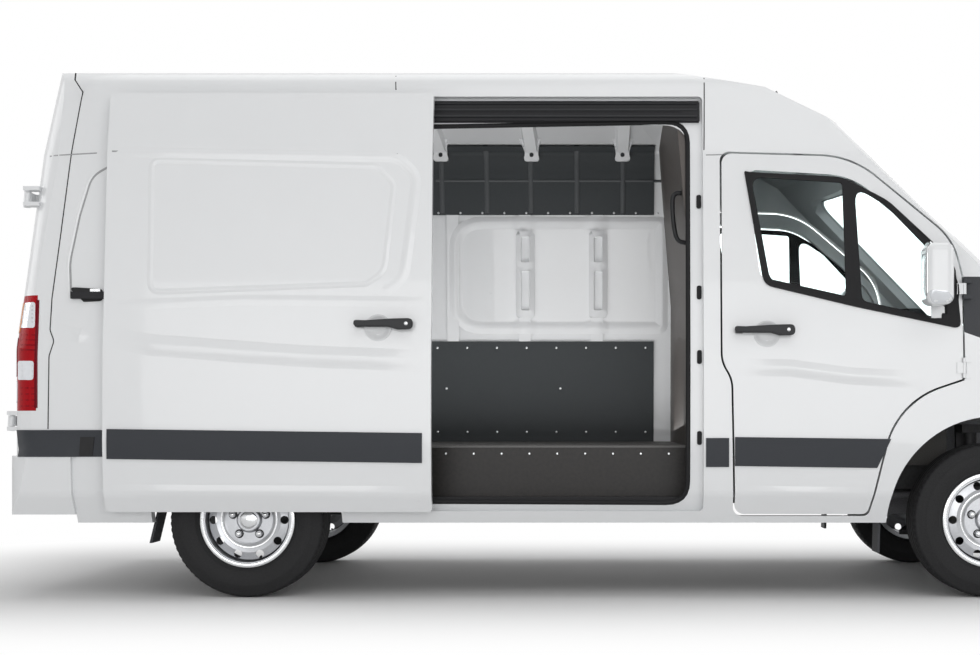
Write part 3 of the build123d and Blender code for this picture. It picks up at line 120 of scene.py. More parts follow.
# Colour, roughness, noise scale, how far the colour varies, and what else the surface needs
LOOKS = {
    "paint": ((0.74, 0.75, 0.76), 0.3, 6, 0.004, {"coat": 0.4}),
    "inner_paint": ((0.76, 0.77, 0.78), 0.45, 8, 0.01, {}),
    "plastic": ((0.045, 0.047, 0.052), 0.55, 900, 0.25, {"bump": 0.35, SHINE: 0.25}),
    "strip": ((0.036, 0.039, 0.045), 0.5, 900, 0.2, {"bump": 0.3, SHINE: 0.22}),
    "handle": ((0.020, 0.021, 0.023), 0.42, 800, 0.2, {"bump": 0.15, SHINE: 0.25}),
    "dish": ((0.62, 0.63, 0.64), 0.3, 30, 0.03, {}),
    "gap": ((0.012, 0.012, 0.013), 0.8, 60, 0.2, {}),
    # Mid grey for soft seams, and painted shade along the door's roof break, the quarter groove, lens ribs,
    # the wheel cover groove and behind the post slots
    "seam_and_shade_grey": ((0.34, 0.345, 0.35), 0.7, 60, 0.1, {}),
    "seal": ((0.016, 0.016, 0.017), 0.6, 500, 0.2, {"bump": 0.2, SHINE: 0.15}),
    "chassis": ((0.030, 0.030, 0.032), 0.65, 80, 0.3, {"bump": 0.3}),
    "cast": ((0.20, 0.20, 0.21), 0.6, 200, 0.2, {"bump": 0.5, "metal": 0.7}),
    "rim": ((0.50, 0.51, 0.53), 0.36, 120, 0.05, {"bump": 0.05, "metal": 0.75}),
    "rim_bright": ((0.78, 0.79, 0.80), 0.2, 90, 0.04, {"metal": 0.9}),
    "steel": ((0.60, 0.61, 0.62), 0.3, 150, 0.08, {"metal": 1.0}),
    "tyre": ((0.022, 0.022, 0.023), 0.72, 260, 0.25, {"bump": 0.25, SHINE: 0.2}),
    "lining": ((0.050, 0.055, 0.058), 0.6, 700, 0.25, {"bump": 0.4, SHINE: 0.2}),
    "lining_rib": ((0.085, 0.090, 0.094), 0.55, 700, 0.2, {"bump": 0.3, SHINE: 0.3}),
    "floor_edge": ((0.10, 0.098, 0.095), 0.45, 200, 0.2, {"bump": 0.2}),
    "track": ((0.018, 0.018, 0.020), 0.5, 300, 0.2, {"bump": 0.2, SHINE: 0.2}),
    "floor": ((0.075, 0.072, 0.068), 0.55, 300, 0.3, {"bump": 0.5, SHINE: 0.3}),
    "step": ((0.013, 0.011, 0.010), 0.35, 60, 0.4, {"bump": 0.1, SHINE: 0.3}),
    "bulkhead": ((0.070, 0.060, 0.054), 0.5, 250, 0.15, {"bump": 0.3}),
    "dash": ((0.035, 0.036, 0.040), 0.6, 700, 0.2, {"bump": 0.4}),
    "cloth": ((0.050, 0.052, 0.060), 0.9, 900, 0.4, {"bump": 0.8, "Sheen_Weight": 0.3}),
    "red": ((0.36, 0.003, 0.008), 0.2, 30, 0.06, {SHINE: 0.12}),
    "deep_red": ((0.14, 0.001, 0.008), 0.2, 30, 0.06, {SHINE: 0.1}),
    "clear": ((0.70, 0.72, 0.75), 0.1, 30, 0.06, {"coat": 0.9, "metal": 0.3}),
    "amber": ((0.60, 0.18, 0.01), 0.2, 30, 0.06, {SHINE: 0.2}),
    "plate": ((0.74, 0.74, 0.72), 0.4, 30, 0.02, {}),
    "glass": (
        (0.80, 0.86, 0.86), 0.03, 4, 0.01,
        {"Transmission_Weight": 1.0, "IOR": 1.12, SHINE: 0.9},
    ),
}
M = {
    name: material(name, color, rough, scale, vary, **more)
    for name, (color, rough, scale, vary, more) in LOOKS.items()
}

NODE_LOOKS = {
    "paint": "roof side_panel_right side_panel_left fenders hood rear_bumper front_bumper sliding_door "
    "front_door_right front_door_left rear_door_right rear_door_left mirror_right mirror_left",
    "inner_paint": "wall_posts",
    "plastic": "cowl grille mud_flaps fuel_tank",
    "chassis": "chassis_rails rear_axle front_suspension",
    "cast": "engine_block exhaust knuckle_right knuckle_left",
    "rim": "wheel_front_right wheel_front_left wheel_rear_right wheel_rear_left",
    "tyre": "tyre_front_right tyre_front_left tyre_rear_right tyre_rear_left",
    "lining": "side_linings",
    "floor": "cargo_floor cab_floor",
    "bulkhead": "partition",
    "dash": "dashboard steering_wheel",
    "cloth": "cab_seats",
    "red": "tail_lamps",
    "clear": "headlamps",
    "glass": "windscreen front_door_glass_right front_door_glass_left",
    "track": "sliding_door_gear",
}


def paint_nodes():
    """Give each CAD node its look."""
    for look, names in NODE_LOOKS.items():
        for name in names.split():
            slots = nodes[name].data.materials
            slots.clear()
            slots.append(M[look])


paint_nodes()


# Light, floor and backdrop. Place, target, size and power of each lamp.
WHITE = (1, 1, 1, 1)
FLOOR_SIZE = 120
FADE_NEAR = 0.05
FADE_FAR = 1.7
SHADOW_BOX = (2.75, 0.95, 0)
FILL = 0.36
LAMPS = {
    "front": ((0.4, -10.5, 2.0), (0.2, 0, 1.3), (11, 3.4), 330),
    "key": ((2.5, -7.5, 7.5), (0.3, 0, 1.0), (8, 4), 120),
    "top": ((0, 0.3, 8.5), (0, 0, 0), (9, 5), 190),
    "far_side": ((0.4, 10.5, 3.0), (0.2, 0, 1.2), (10, 4), 220),
    "ahead": ((10, -1, 4), (0, 0, 1.0), (5, 4), 120),
    "behind": ((-10, -1, 4), (0, 0, 1.0), (5, 4), 120),
    "inside": ((R + 0.9, 0.1, 0.78), (R + 0.9, 0.15, 2.4), (2.4, 1.0), 17),
}


def white_to_camera(mat):
    """Floor that keeps the shadow round the van and turns white for the camera away from it."""
    tree = mat.node_tree
    coords = add_node(tree, "TexCoord")
    size = add_node(tree, "VectorMath", coords.outputs["Object"], operation="ABSOLUTE")
    beyond = add_node(tree, "VectorMath", size.outputs["Vector"], SHADOW_BOX, operation="SUBTRACT")
    outside = add_node(tree, "VectorMath", beyond.outputs["Vector"], operation="MAXIMUM")
    length = add_node(tree, "VectorMath", outside.outputs["Vector"], operation="LENGTH")
    fade = add_node(tree, "MapRange", Value=length.outputs["Value"], From_Min=FADE_NEAR, From_Max=FADE_FAR)
    fade.interpolation_type = "SMOOTHSTEP"
    path = add_node(tree, "LightPath")
    seen = add_node(tree, "Math", fade.outputs["Result"], path.outputs["Is Camera Ray"], operation="MULTIPLY")
    white = add_node(tree, "Emission", Strength=1.0, Color=WHITE)
    shader = tree.nodes["Principled BSDF"]
    mix = add_node(tree, "MixShader", seen.outputs["Value"], shader.outputs[0], white.outputs[0])
    tree.links.new(mix.outputs["Shader"], tree.nodes["Material Output"].inputs["Surface"])
    return mat


def lay_floor():
    """Studio floor under the wheels."""
    mesh = bpy.data.meshes.new("studio_floor")
    half = FLOOR_SIZE / 2
    corners = [(-half, -half, 0), (half, -half, 0), (half, half, 0), (-half, half, 0)]
    mesh.from_pydata(corners, [], [(0, 1, 2, 3)])
    plane = bpy.data.objects.new("studio_floor", mesh)
    scene.collection.objects.link(plane)
    mesh.materials.append(white_to_camera(material("studio_floor", (0.86, 0.86, 0.86), 0.9, 2, 0.005)))


def hang_lamps():
    """Large soft lamps round the van, and a hidden one in the cargo space."""
    for name, (place, target, size, power) in LAMPS.items():
        data = bpy.data.lights.new(name, "AREA")
        data.shape = "RECTANGLE"
        data.size, data.size_y = size
        data.energy = power
        light = bpy.data.objects.new(name, data)
        light.location = place
        light.rotation_euler = (Vector(target) - Vector(place)).to_track_quat("-Z", "Y").to_euler()
        scene.collection.objects.link(light)
    bpy.data.objects["inside"].visible_camera = False


def light_world():
    """Soft white light all round, which the camera, reflections and glass see as full white."""
    world = bpy.data.worlds.new("world")
    world.use_nodes = True
    tree = world.node_tree
    back = tree.nodes["Background"]
    fill_inputs(tree, back, (), {"Color": WHITE, "Strength": FILL})
    white = add_node(tree, "Background", Color=WHITE, Strength=1.0)
    path = add_node(tree, "LightPath").outputs
    either = add_node(tree, "Math", path["Is Camera Ray"], path["Is Glossy Ray"], operation="MAXIMUM")
    seen = add_node(tree, "Math", either.outputs[0], path["Is Transmission Ray"], operation="MAXIMUM")
    mix = add_node(tree, "MixShader", seen.outputs[0], back.outputs[0], white.outputs[0])
    tree.links.new(mix.outputs[0], tree.nodes["World Output"].inputs["Surface"])
    scene.world = world
    scene.view_settings.view_transform = "Standard"


lay_floor()
hang_lamps()
light_world()


# Shapes laid on the CAD surface
SURFACES = {}
OUTSIDE = 3
BEYOND = 4
FIRST_GUESS = 2
SKIN_Y = -1.020
SHEET_STEP = 0.05
GRID_STRETCH = 1.003
SHARP_ANGLE = 0.7
BEVEL_ANGLE = 0.5
WELD = 1e-6
STRAIGHT = 3.1
CORNER_REACH = 0.49
CORNER_PARTS = 6

# Each view: where its ray to (u, v) starts, and the way it looks
VIEWS = {
    "right": (lambda u, v: Vector((u, -OUTSIDE, v)), Vector((0, 1, 0))),
    "left": (lambda u, v: Vector((u, OUTSIDE, v)), Vector((0, -1, 0))),
    "rear": (lambda u, v: Vector((-BEYOND, u, v)), Vector((1, 0, 0))),
    "front": (lambda u, v: Vector((BEYOND, u, v)), Vector((-1, 0, 0))),
    "top": (lambda u, v: Vector((u, v, BEYOND)), Vector((0, 0, -1))),
    "inside_left": (lambda u, v: Vector((u, 0, v)), Vector((0, 1, 0))),
}

# Sections of the bands: places across from -1 to 1, and how high each stands
GROOVE = ((-1, -0.002), (-0.6, 0.0012), (0.6, 0.0012), (1, -0.002))
SWAGE = ((-1, -0.001), (-0.55, 0.25), (0, 1), (0.3, 0.75), (1, -0.001))
BEAD = ((-1, -0.1), (-0.7, 0.7), (0, 1), (0.7, 0.7), (1, -0.1))
# A jump in distance that means a ray went past an edge, and the steps over which a crease fades out
JUMP = 0.12
TAPER = 8


def surface(names):
    """A ray tree over some CAD nodes, kept for the next call."""
    if names not in SURFACES:
        verts, faces = [], []
        for name in names.split():
            mesh = nodes[name].data
            start = len(verts)
            verts += [v.co.copy() for v in mesh.vertices]
            faces += [[start + i for i in f.vertices] for f in mesh.polygons]
        SURFACES[names] = BVHTree.FromPolygons(verts, faces)
    return SURFACES[names]


def hit(names, start, ray):
    """The first point of some CAD nodes on a ray, or None."""
    return surface(names).ray_cast(Vector(start), Vector(ray))[0]


def at(px, py, y=SKIN_Y):
    """The x and z of a pixel of the photograph, at a distance y."""
    scale = (y - EYE.y) / FOCAL_PX
    return EYE.x + (px - CENTRE_PX[0]) * scale, EYE.z + (CENTRE_PX[1] - py) * scale


def traced(points, names, y=SKIN_Y):
    """Pixel points carried onto the surface they show, as (x, z, corner radius in metres)."""
    result = []
    for px, py, *corner in points:
        ray = Vector((px - CENTRE_PX[0], FOCAL_PX, CENTRE_PX[1] - py)).normalized()
        spot = hit(names, EYE, ray)
        x, z = (spot.x, spot.z) if spot else at(px, py, y)
        result.append((x, z, corner[0] * PIXEL if corner else 0))
    return result


def rect(u_low, v_low, u_high, v_high, *corner):
    """The four corners of a rectangle, each with the corner radius where one is given."""
    corners = ((u_low, v_low), (u_high, v_low), (u_high, v_high), (u_low, v_high))
    return [(*spot, *corner) for spot in corners]


def around(u, v, wide, low, high, corner):
    """A rectangle round a spot: half its width each way, and down and up from it."""
    return rect(u - wide, v - low, u + wide, v + high, corner)


def rounded(points, closed=True, step=0.03):
    """A polyline with round corners, cut into short pieces."""
    count = len(points)
    path = []
    for i, (u, v, *corner) in enumerate(points):
        here = Vector((u, v))
        before = Vector(points[i - 1][:2]) - here
        after = Vector(points[(i + 1) % count][:2]) - here
        sharp = not corner or corner[0] == 0 or (not closed and i in (0, count - 1))
        if sharp or before.angle(after) > STRAIGHT:
            path.append(here)
            continue
        reach = corner[0] / math.tan(before.angle(after) / 2)
        reach = min(reach, before.length * CORNER_REACH, after.length * CORNER_REACH)
        first = here + before.normalized() * reach
        last = here + after.normalized() * reach
        for k in range(CORNER_PARTS + 1):
            t = k / CORNER_PARTS
            path.append(first * (1 - t) ** 2 + here * 2 * t * (1 - t) + last * t**2)
    cut = []
    for i in range(len(path) if closed else len(path) - 1):
        start, end = path[i], path[(i + 1) % len(path)]
        parts = max(1, int((end - start).length / step))
        cut += [start.lerp(end, k / parts) for k in range(parts)]
    return cut if closed else [*cut, path[-1]]


def landed(u, v, tree, view, guess):
    """Where a view's ray to (u, v) starts, its way, and how far it goes. The guess is for a miss."""
    start, ray = VIEWS[view][0](u, v), VIEWS[view][1]
    far = tree.ray_cast(start, ray)[3]
    return start, ray, guess if far is None else far


def spot_on(u, v, names, view="right", guess=FIRST_GUESS):
    """The point of some CAD nodes that a view sees at (u, v)."""
    start, ray, far = landed(u, v, surface(names), view, guess)
    return start + ray * far


@contextmanager
def opened(mesh):
    """A mesh opened for changes, and written back after them."""
    work = bmesh.new()
    work.from_mesh(mesh)
    yield work
    work.to_mesh(mesh)
    work.free()


def mesh_of(name, verts, faces):
    """A mesh whose faces all look outward."""
    mesh = bpy.data.meshes.new(name)
    mesh.from_pydata([tuple(v) for v in verts], [], faces)
    with opened(mesh) as work:
        bmesh.ops.recalc_face_normals(work, faces=work.faces)
    return mesh


def sharp_by_angle(mesh, angle):
    """Keep hard edges hard and smooth the rest."""
    with opened(mesh) as work:
        for edge in work.edges:
            edge.smooth = len(edge.link_faces) == 2 and edge.calc_face_angle(0) < angle


def add_piece(name, mesh, look, body, smooth=True):
    """A mesh put in the scene with its look, riding on a body."""
    piece = bpy.data.objects.new(name, mesh)
    scene.collection.objects.link(piece)
    mesh.materials.append(M[look])
    for face in mesh.polygons:
        face.use_smooth = smooth
    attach(piece, body)
    return piece


def add_hard(name, mesh, look, body, angle=SHARP_ANGLE):
    """A mesh put in the scene with its hard edges kept hard."""
    piece = add_piece(name, mesh, look, body)
    sharp_by_angle(mesh, angle)
    return piece


def quads(rows, wide, rows_closed, wide_closed):
    """Faces between the neighbours of a grid of points that is given row by row."""
    faces = []
    for i in range(rows if rows_closed else rows - 1):
        for k in range(wide if wide_closed else wide - 1):
            here, ahead = i * wide, (i + 1) % rows * wide
            side = (k + 1) % wide
            faces.append([here + k, here + side, ahead + side, ahead + k])
    return faces


def heading(points, i, closed):
    """The way that a line runs at one of its points."""
    before = points[i - 1] if closed or i > 0 else points[i]
    after = points[(i + 1) % len(points)] if closed or i < len(points) - 1 else points[i]
    return (after - before).normalized()


def inside(point, loop):
    """Whether a flat point lies in a closed loop."""
    odd = False
    for i, here in enumerate(loop):
        before = loop[i - 1]
        if (here.y > point.y) != (before.y > point.y):
            if point.x < (before.x - here.x) * (point.y - here.y) / (before.y - here.y) + here.x:
                odd = not odd
    return odd


def sheet(name, outline, names, look, body, view="right", lift=0.003, depth=0.005, holes=(), step=SHEET_STEP):
    """A flat or curved patch that follows the CAD surface, with an edge all round."""
    loops = [rounded(loop) for loop in (outline, *holes)]
    coords, edges = [], []
    for path in loops:
        start = len(coords)
        coords += path
        edges += [(start + i, start + (i + 1) % len(path)) for i in range(len(path))]
    low_u, high_u = min(c.x for c in coords), max(c.x for c in coords)
    low_v, high_v = min(c.y for c in coords), max(c.y for c in coords)
    for i in range(1, int((high_u - low_u) / step)):
        for j in range(1, int((high_v - low_v) / step)):
            coords.append(Vector((low_u + i * step * GRID_STRETCH, low_v + j * step * GRID_STRETCH)))
    flat, _, triangles, *_ = delaunay_2d_cdt(coords, edges, [], 1, 1e-5)
    middles = [sum((flat[i] for i in t), Vector((0, 0))) / 3 for t in triangles]
    triangles = [t for t, m in zip(triangles, middles) if not any(inside(m, gap) for gap in loops[1:])]
    used = sorted({i for t in triangles for i in t})
    index = {old: new for new, old in enumerate(used)}
    front, back = [], []
    far = FIRST_GUESS
    for old in used:
        start, ray, far = landed(*flat[old], surface(names), view, far)
        front.append(start + ray * (far - lift))
        back.append(start + ray * (far - lift + depth))
    faces = [[index[i] for i in t] for t in triangles]
    shift = len(front)
    rim = {(a, b): None for face in faces for a, b in zip(face, face[1:] + face[:1])}
    walls = [[a, b, b + shift, a + shift] for a, b in rim if (b, a) not in rim]
    backs = [[i + shift for i in reversed(face)] for face in faces]
    return add_hard(name, mesh_of(name, front + back, faces + backs + walls), look, body)


def band(
    name, path, names, look, body, width, view="right", height=1, profile=GROOVE, closed=False, step=0.03
):
    """A narrow strip along a path on the CAD surface. Past the surface's end it keeps its last distance."""
    line = rounded(path, closed, step)
    count = len(line)
    casts = []
    for i, here in enumerate(line):
        along = heading(line, i, closed)
        across = Vector((-along.y, along.x))
        fade = 1 if closed or profile is not SWAGE else min(1, (i + 0.1) / TAPER, (count - 0.9 - i) / TAPER)
        for offset, rise in profile:
            spot = here + across * offset * width / 2
            casts.append((*landed(*spot, surface(names), view, None), rise * height * fade))
    reached = sorted(cast[2] for cast in casts if cast[2] is not None)
    if not reached:
        raise ValueError(f"{name} misses {names}")
    guess = reached[len(reached) // 3]
    verts = []
    for start, ray, far, up in casts:
        guess = guess if far is None or abs(far - guess) > JUMP else far
        verts.append(start + ray * (guess - up))
    return add_piece(name, mesh_of(name, verts, quads(count, len(profile), closed, False)), look, body)


def crease(name, path, names, body, width, height, view="right", look="paint", closed=False, **more):
    """A pressed line in the sheet metal."""
    return band(name, path, names, look, body, width, view, height, SWAGE, closed, **more)


def bead(name, path, names, look, body, width, height, view="right", closed=False):
    """A raised line with a round top."""
    return band(name, path, names, look, body, width, view, height, BEAD, closed)


def prism(name, outline, low, high, look, body, axis="y", bevel=0.002, step=0.06):
    """A solid from an outline, closed at both ends, along one axis, with rounded edges."""
    path = rounded(outline, True, step)
    place = {
        "y": lambda p, d: (p.x, d, p.y),
        "x": lambda p, d: (d, p.x, p.y),
        "z": lambda p, d: (p.x, p.y, d),
    }[axis]
    count = len(path)
    verts = [place(p, d) for d in (low, high) for p in path]
    ends = [list(range(count)), list(range(count, 2 * count))]
    mesh = mesh_of(name, verts, ends + quads(2, count, False, True))
    with opened(mesh) as work:
        edges = [e for e in work.edges if e.calc_face_angle(0) > BEVEL_ANGLE]
        bmesh.ops.bevel(work, geom=edges, offset=bevel, segments=2, affect="EDGES", clamp_overlap=True)
    return add_hard(name, mesh, look, body)


def box(name, low, high, look, body, bevel=0.003):
    """A bar or plate given by its two corners, with rounded edges."""
    return prism(name, rect(*low[:2], *high[:2]), low[2], high[2], look, body, "z", bevel, 1)


def turned(profile, place, axis, turns):
    """Rings of points round an axis, one for each (radius, height), with the faces between them."""
    turn = Vector((0, 0, 1)).rotation_difference(Vector(axis)).to_matrix()
    verts = []
    for radius, height in profile:
        for k in range(turns):
            angle = 2 * math.pi * k / turns
            local = Vector((radius * math.cos(angle), radius * math.sin(angle), height))
            verts.append(Vector(place) + turn @ local)
    return verts, quads(len(profile), turns, False, True)


def lathe(name, profile, place, axis, look, body, turns=32, capped=True):
    """A round piece from (radius, height) along an axis from a place. A ring isn't capped."""
    verts, faces = turned(profile, place, axis, turns)
    for i in (0, len(profile) - 1):
        if capped and profile[i][0] > 0:
            faces.append(list(range(i * turns, (i + 1) * turns)))
    mesh = mesh_of(name, verts, faces)
    with opened(mesh) as work:
        bmesh.ops.remove_doubles(work, verts=work.verts, dist=WELD)
    return add_hard(name, mesh, look, body)


def tube(name, path, radius, look, body, sides=12, closed=False):
    """A bent round bar through some points."""
    points = [Vector(p) for p in path]
    count = len(points)
    verts = []
    side = heading(points, 0, closed).orthogonal().normalized()
    for i, here in enumerate(points):
        along = heading(points, i, closed)
        side = (side - along * side.dot(along)).normalized()
        other = along.cross(side)
        for k in range(sides):
            angle = 2 * math.pi * k / sides
            verts.append(here + (side * math.cos(angle) + other * math.sin(angle)) * radius)
    faces = quads(count, sides, closed, True)
    if not closed:
        faces += [list(range(sides)), list(range((count - 1) * sides, count * sides))]
    return add_piece(name, mesh_of(name, verts, faces), look, body)


# Right side, as the photograph shows it. Outlines and paths are in its pixels, sizes in metres.
SLID = "sliding_door"
PANEL = "side_panel_right"
DOOR = "front_door_right"
REAR_DOOR = "rear_door_right"
CORNER = "rear_bumper side_panel_right"
QUARTER = "side_panel_right roof rear_bumper"
SIDE_ROOF = "side_panel_right roof"
STRIP_LOW = 0.648
STRIP_HIGH = 0.774

# Outline, CAD nodes under it, look, lift and depth
PATCHES_RIGHT = {
    "strip_quarter_right": (
        ((17, 430), (104, 430), (104, 456.8), (18, 456.8)), CORNER, "strip", 0.006, 0.010
    ),
    "strip_slide_end": (((81, 437), (95, 437), (93, 456), (80, 456)), PANEL, "gap", 0.010, 0.014),
    "strip_slide": (((107, 429), (422, 433), (422, 463), (107, 459)), SLID, "strip", 0.008, 0.012),
    "strip_pillar_right": (((706, 438), (729, 438), (729, 467), (706, 467)), PANEL, "strip", 0.007, 0.012),
    "strip_door_right": (((735, 437), (891, 439), (877, 468), (735, 466)), DOOR, "strip", 0.007, 0.012),
    "quarter_rail_end": (
        ((68, 287, 3), (103, 289, 4), (103, 301, 4), (84, 302, 2)), PANEL, "gap", 0.006, 0.010
    ),
    "quarter_rail_tab": (((91, 289), (101, 289), (101, 298), (91, 298)), PANEL, "rim_bright", 0.014, 0.014),
    # A thin mid grey line of painted shade along the break in the door skin under the roof seam
    "slide_roof_break": (
        ((112, 150.5), (398, 153.5), (398, 155), (112, 152)), SLID, "seam_and_shade_grey", 0.001, 0.004
    ),
}

# Path, CAD node under it, width and height
CREASES_RIGHT = {
    "slide_pressing_top": (
        ((109, 152), (398, 157, 26), (417, 176, 20), (404, 278, 60), (385, 292, 20)), SLID, 0.050, 0.007
    ),
    "slide_crease": (((108, 337), (150, 345, 100), (300, 356, 200), (422, 361)), SLID, 0.10, 0.008),
    "slide_belt": (((108, 306), (240, 300, 200), (422, 302)), SLID, 0.05, 0.003),
    "slide_low_crease": (((108, 492), (422, 494)), SLID, 0.07, 0.004),
    "quarter_crease": (((55, 330), (80, 336, 40), (97, 338)), PANEL, 0.07, 0.008),
    "door_crease_right": (((735, 367), (790, 368, 100), (850, 376, 120), (925, 380)), DOOR, 0.08, 0.008),
    "door_low_crease_right": (((737, 492), (870, 494)), DOOR, 0.06, 0.004),
}
SLIDE_PRESSING_PX = (
    (152, 160, 8), (378, 166, 16), (394, 184, 12), (384, 272, 40), (366, 284, 10), (150, 292, 10)
)
QUARTER_GROOVE_PX = ((110, 166), (92, 176, 30), (80, 215, 60), (70, 262, 60), (71, 292))
PILLAR_PX = (
    (86, 80), (72, 150, 60), (60, 240, 60), (52, 298, 20), (50, 330, 10), (54, 341, 8), (49, 356, 10),
    (48, 429)
)

# Path, CAD nodes under it, look and width
SEAMS_RIGHT = {
    "roof_seam_middle": (((396, 76), (396, 90)), "roof", "gap", 0.007),
    "roof_seam_front": (((704, 78), (704, 150)), "roof", "gap", 0.007),
    "roof_seam_right": (((43, 153), (97, 153)), SIDE_ROOF, "seam_and_shade_grey", 0.008),
    "roof_seam_ahead_right": (((706, 155), (722, 155)), SIDE_ROOF, "seam_and_shade_grey", 0.008),
    "rear_pillar_seam_right": (PILLAR_PX, QUARTER, "gap", 0.007),
}


def body_of(names):
    """The body that a right door's node rides on. The other nodes ride on the van."""
    return names if names in (DOOR, REAR_DOOR) else "van"


def right_side():
    """Strips, pressed creases and seams of the side that the photograph shows, with a band of painted shade
    in the quarter groove.
    """
    for name, (outline, names, look, lift, depth) in PATCHES_RIGHT.items():
        sheet(name, traced(outline, names), names, look, body_of(names), lift=lift, depth=depth)
    for name, (path, names, width, height) in CREASES_RIGHT.items():
        crease(name, traced(path, names), names, body_of(names), width, height)
    crease("slide_pressing_inner", traced(SLIDE_PRESSING_PX, SLID), SLID, "van", 0.028, 0.004, closed=True)
    for name, (path, names, look, width) in SEAMS_RIGHT.items():
        band(name, traced(path, names), names, look, "van", width)
    quarter = traced(QUARTER_GROOVE_PX, PANEL)
    # The quarter groove's shadowed step is a mid grey band of painted shade, with a pressed crease beside it
    band("quarter_groove_shade", quarter, PANEL, "seam_and_shade_grey", "van", 0.014)
    crease("quarter_groove_edge", [(x - 0.012, z, r) for x, z, r in quarter], PANEL, "van", 0.022, 0.006)


# The pull handles, the same on both sides
DISH = ((0.062, -0.001), (0.060, 0.006), (0.052, 0.0065), (0.047, 0.004), (0.03, 0.0022), (0, 0.0015))
LOCK = ((0.0085, -0.004), (0.0085, 0.001), (0.007, 0.0022), (0, 0.0022))


def pull(name, x_low, x_high, z, bar, foot, body):
    """Black bar on two feet. bar and foot are the ends of each across the van."""
    outline = [
        (x_low, z - 0.012, 0.016),
        (x_low + 0.06, z - 0.016, 0.03),
        (x_high - 0.11, z - 0.016, 0.03),
        (x_high - 0.07, z - 0.028, 0.02),
        (x_high, z - 0.026, 0.024),
        (x_high, z + 0.024, 0.026),
        (x_high - 0.09, z + 0.022, 0.04),
        (x_low + 0.05, z + 0.014, 0.03),
        (x_low, z + 0.016, 0.016),
    ]
    prism(name + "_bar", outline, *bar, "handle", body, bevel=0.007, step=0.02)
    for x, wide, key in ((x_low + 0.024, 0.020, "rear"), (x_high - 0.042, 0.036, "front")):
        prism(f"{name}_foot_{key}", around(x, z, wide, 0.016, 0.012, 0.010), *foot, "handle", body)


def handle(name, px_low, px_high, py, names, body, dish_px):
    """Pull handle of the right side, over a round pale dish, with its lock."""
    ((dish_x, dish_z, _),) = traced([(dish_px, py + 4)], names)
    centre = spot_on(dish_x, dish_z, names)
    lathe(name + "_dish", DISH, centre, (0, -1, 0), "dish", body, 40)
    (x_low, z, _), (x_high, _, _) = traced([(px_low, py), (px_high, py)], names)
    face = centre.y - 0.052
    pull(name, x_low, x_high, z, (face, face + 0.024), (face + 0.014, centre.y + 0.006), body)
    lathe(name + "_lock", LOCK, (x_high - 0.030, face, z - 0.001), (0, -1, 0), "steel", body, 20)


right_side()
handle("slide_handle", 355, 414, 324, SLID, "van", 378)
handle("door_handle_right", 734, 794, 330, DOOR, DOOR, 767)


# Windows and mirrors, the same on both sides, drawn on the right
WINDOW_PX = (
    (744, 171, 10), (748, 172, 8), (843, 177, 60), (888, 201, 60), (931, 243, 30), (955, 268, 12),
    (961, 329, 6), (856, 307), (764, 285, 14)
)
PANE_PX = ((751, 177, 10), (842, 183, 4), (846, 298, 6), (770, 281, 14))
QUARTER_PANE_PX = (
    (854, 186, 10), (886, 206, 50), (927, 248, 20), (941, 268, 10), (944, 318, 8), (862, 301, 8)
)
MIRROR_LAMP_PX = ((926, 290, 4), (948, 291, 4), (946, 305, 6), (928, 305, 5))
MIRROR_Y = -1.215


def window_frame(name):
    """Black frame round a front door window, with the divider between its two panes."""
    door, glass = f"front_door_{name}", f"front_door_glass_{name}"
    skin = "front_door_right front_door_glass_right"
    rim, pane, quarter = (traced(outline, skin) for outline in (WINDOW_PX, PANE_PX, QUARTER_PANE_PX))
    panes = (pane, quarter)
    sheet(f"window_frame_{name}", rim, f"{door} {glass}", "seal", door, name, 0.0095, 0.013, panes, 0.02)
    sill = [pane[3], pane[2]]
    bead(f"window_weather_strip_{name}", sill, f"{glass} {door}", "seal", door, 0.02, 0.006, name)


def mirror_details(name, side):
    """Mirror glass on the rear face, and the clear lamp at the bottom of the outer face."""
    mirror, body = f"mirror_{name}", f"front_door_{name}"
    glass = rect(side * 1.065, 1.36, side * 1.195, 1.618, 0.03)
    sheet(f"mirror_glass_{name}", glass, mirror, "rim_bright", body, "rear", 0.002, 0.004, step=0.04)
    lamp = traced(MIRROR_LAMP_PX, "mirror_right", MIRROR_Y)
    sheet(f"mirror_lamp_{name}", lamp, mirror, "clear", body, name, 0.003, 0.006, step=0.02)


for name, side in SIDES.items():
    window_frame(name)
    mirror_details(name, side)


# Doorway, with what is seen through it
DOORWAY_Y = -0.98
DOORWAY_REAR = R + 0.70
DOORWAY_PX = ((425, 122), (687.5, 122), (687.5, 503), (425, 503))
BUFFERS_PX = ((699.5, 200), (699.5, 292), (699.5, 357), (699.5, 438))


def doorway():
    """Rubber seal round the doorway, and the buffers on its front jamb."""
    corners = traced(DOORWAY_PX, "side_panel_right roof sliding_door", DOORWAY_Y)
    rows = (DOORWAY_REAR, corners[1][0], corners[2][0], DOORWAY_REAR)
    path = [(x, corner[1], 0.1) for x, corner in zip(rows, corners)]
    bead("doorway_seal", path, SIDE_ROOF, "seal", "van", 0.022, 0.010, closed=True)
    for i, (px, py) in enumerate(BUFFERS_PX):
        mark = around(*at(px, py, DOORWAY_Y), 0.011, 0.032, 0.032, 0.011)
        sheet(f"jamb_buffer_{i}", mark, SIDE_ROOF, "seal", "van", lift=0.007, depth=0.011)


doorway()


# Cargo space, as seen through the doorway
FAR_WALL = 0.86
BOWS = [at(px, 140, 0.6)[0] for px in (437, 530, 623)]
BOW_HALF = 0.045
BOW_STEPS = 12
BOW_START = -0.72
BOW_SPAN = 1.46
BOW_SECTION = ((-BOW_HALF, 0.004), (-BOW_HALF * 0.7, -0.034), (BOW_HALF * 0.7, -0.034), (BOW_HALF, 0.004))
ROOF_UNDER = 2.4
GUSSET_TOP = 2.42
GUSSET_HOLES = ((-0.030, 0.028), (0.006, 0.028), (-0.012, -0.012))
SCREW = ((0.007, -0.001), (0.007, 0.0015), (0.0042, 0.003))
SCREW_SIDES = 8


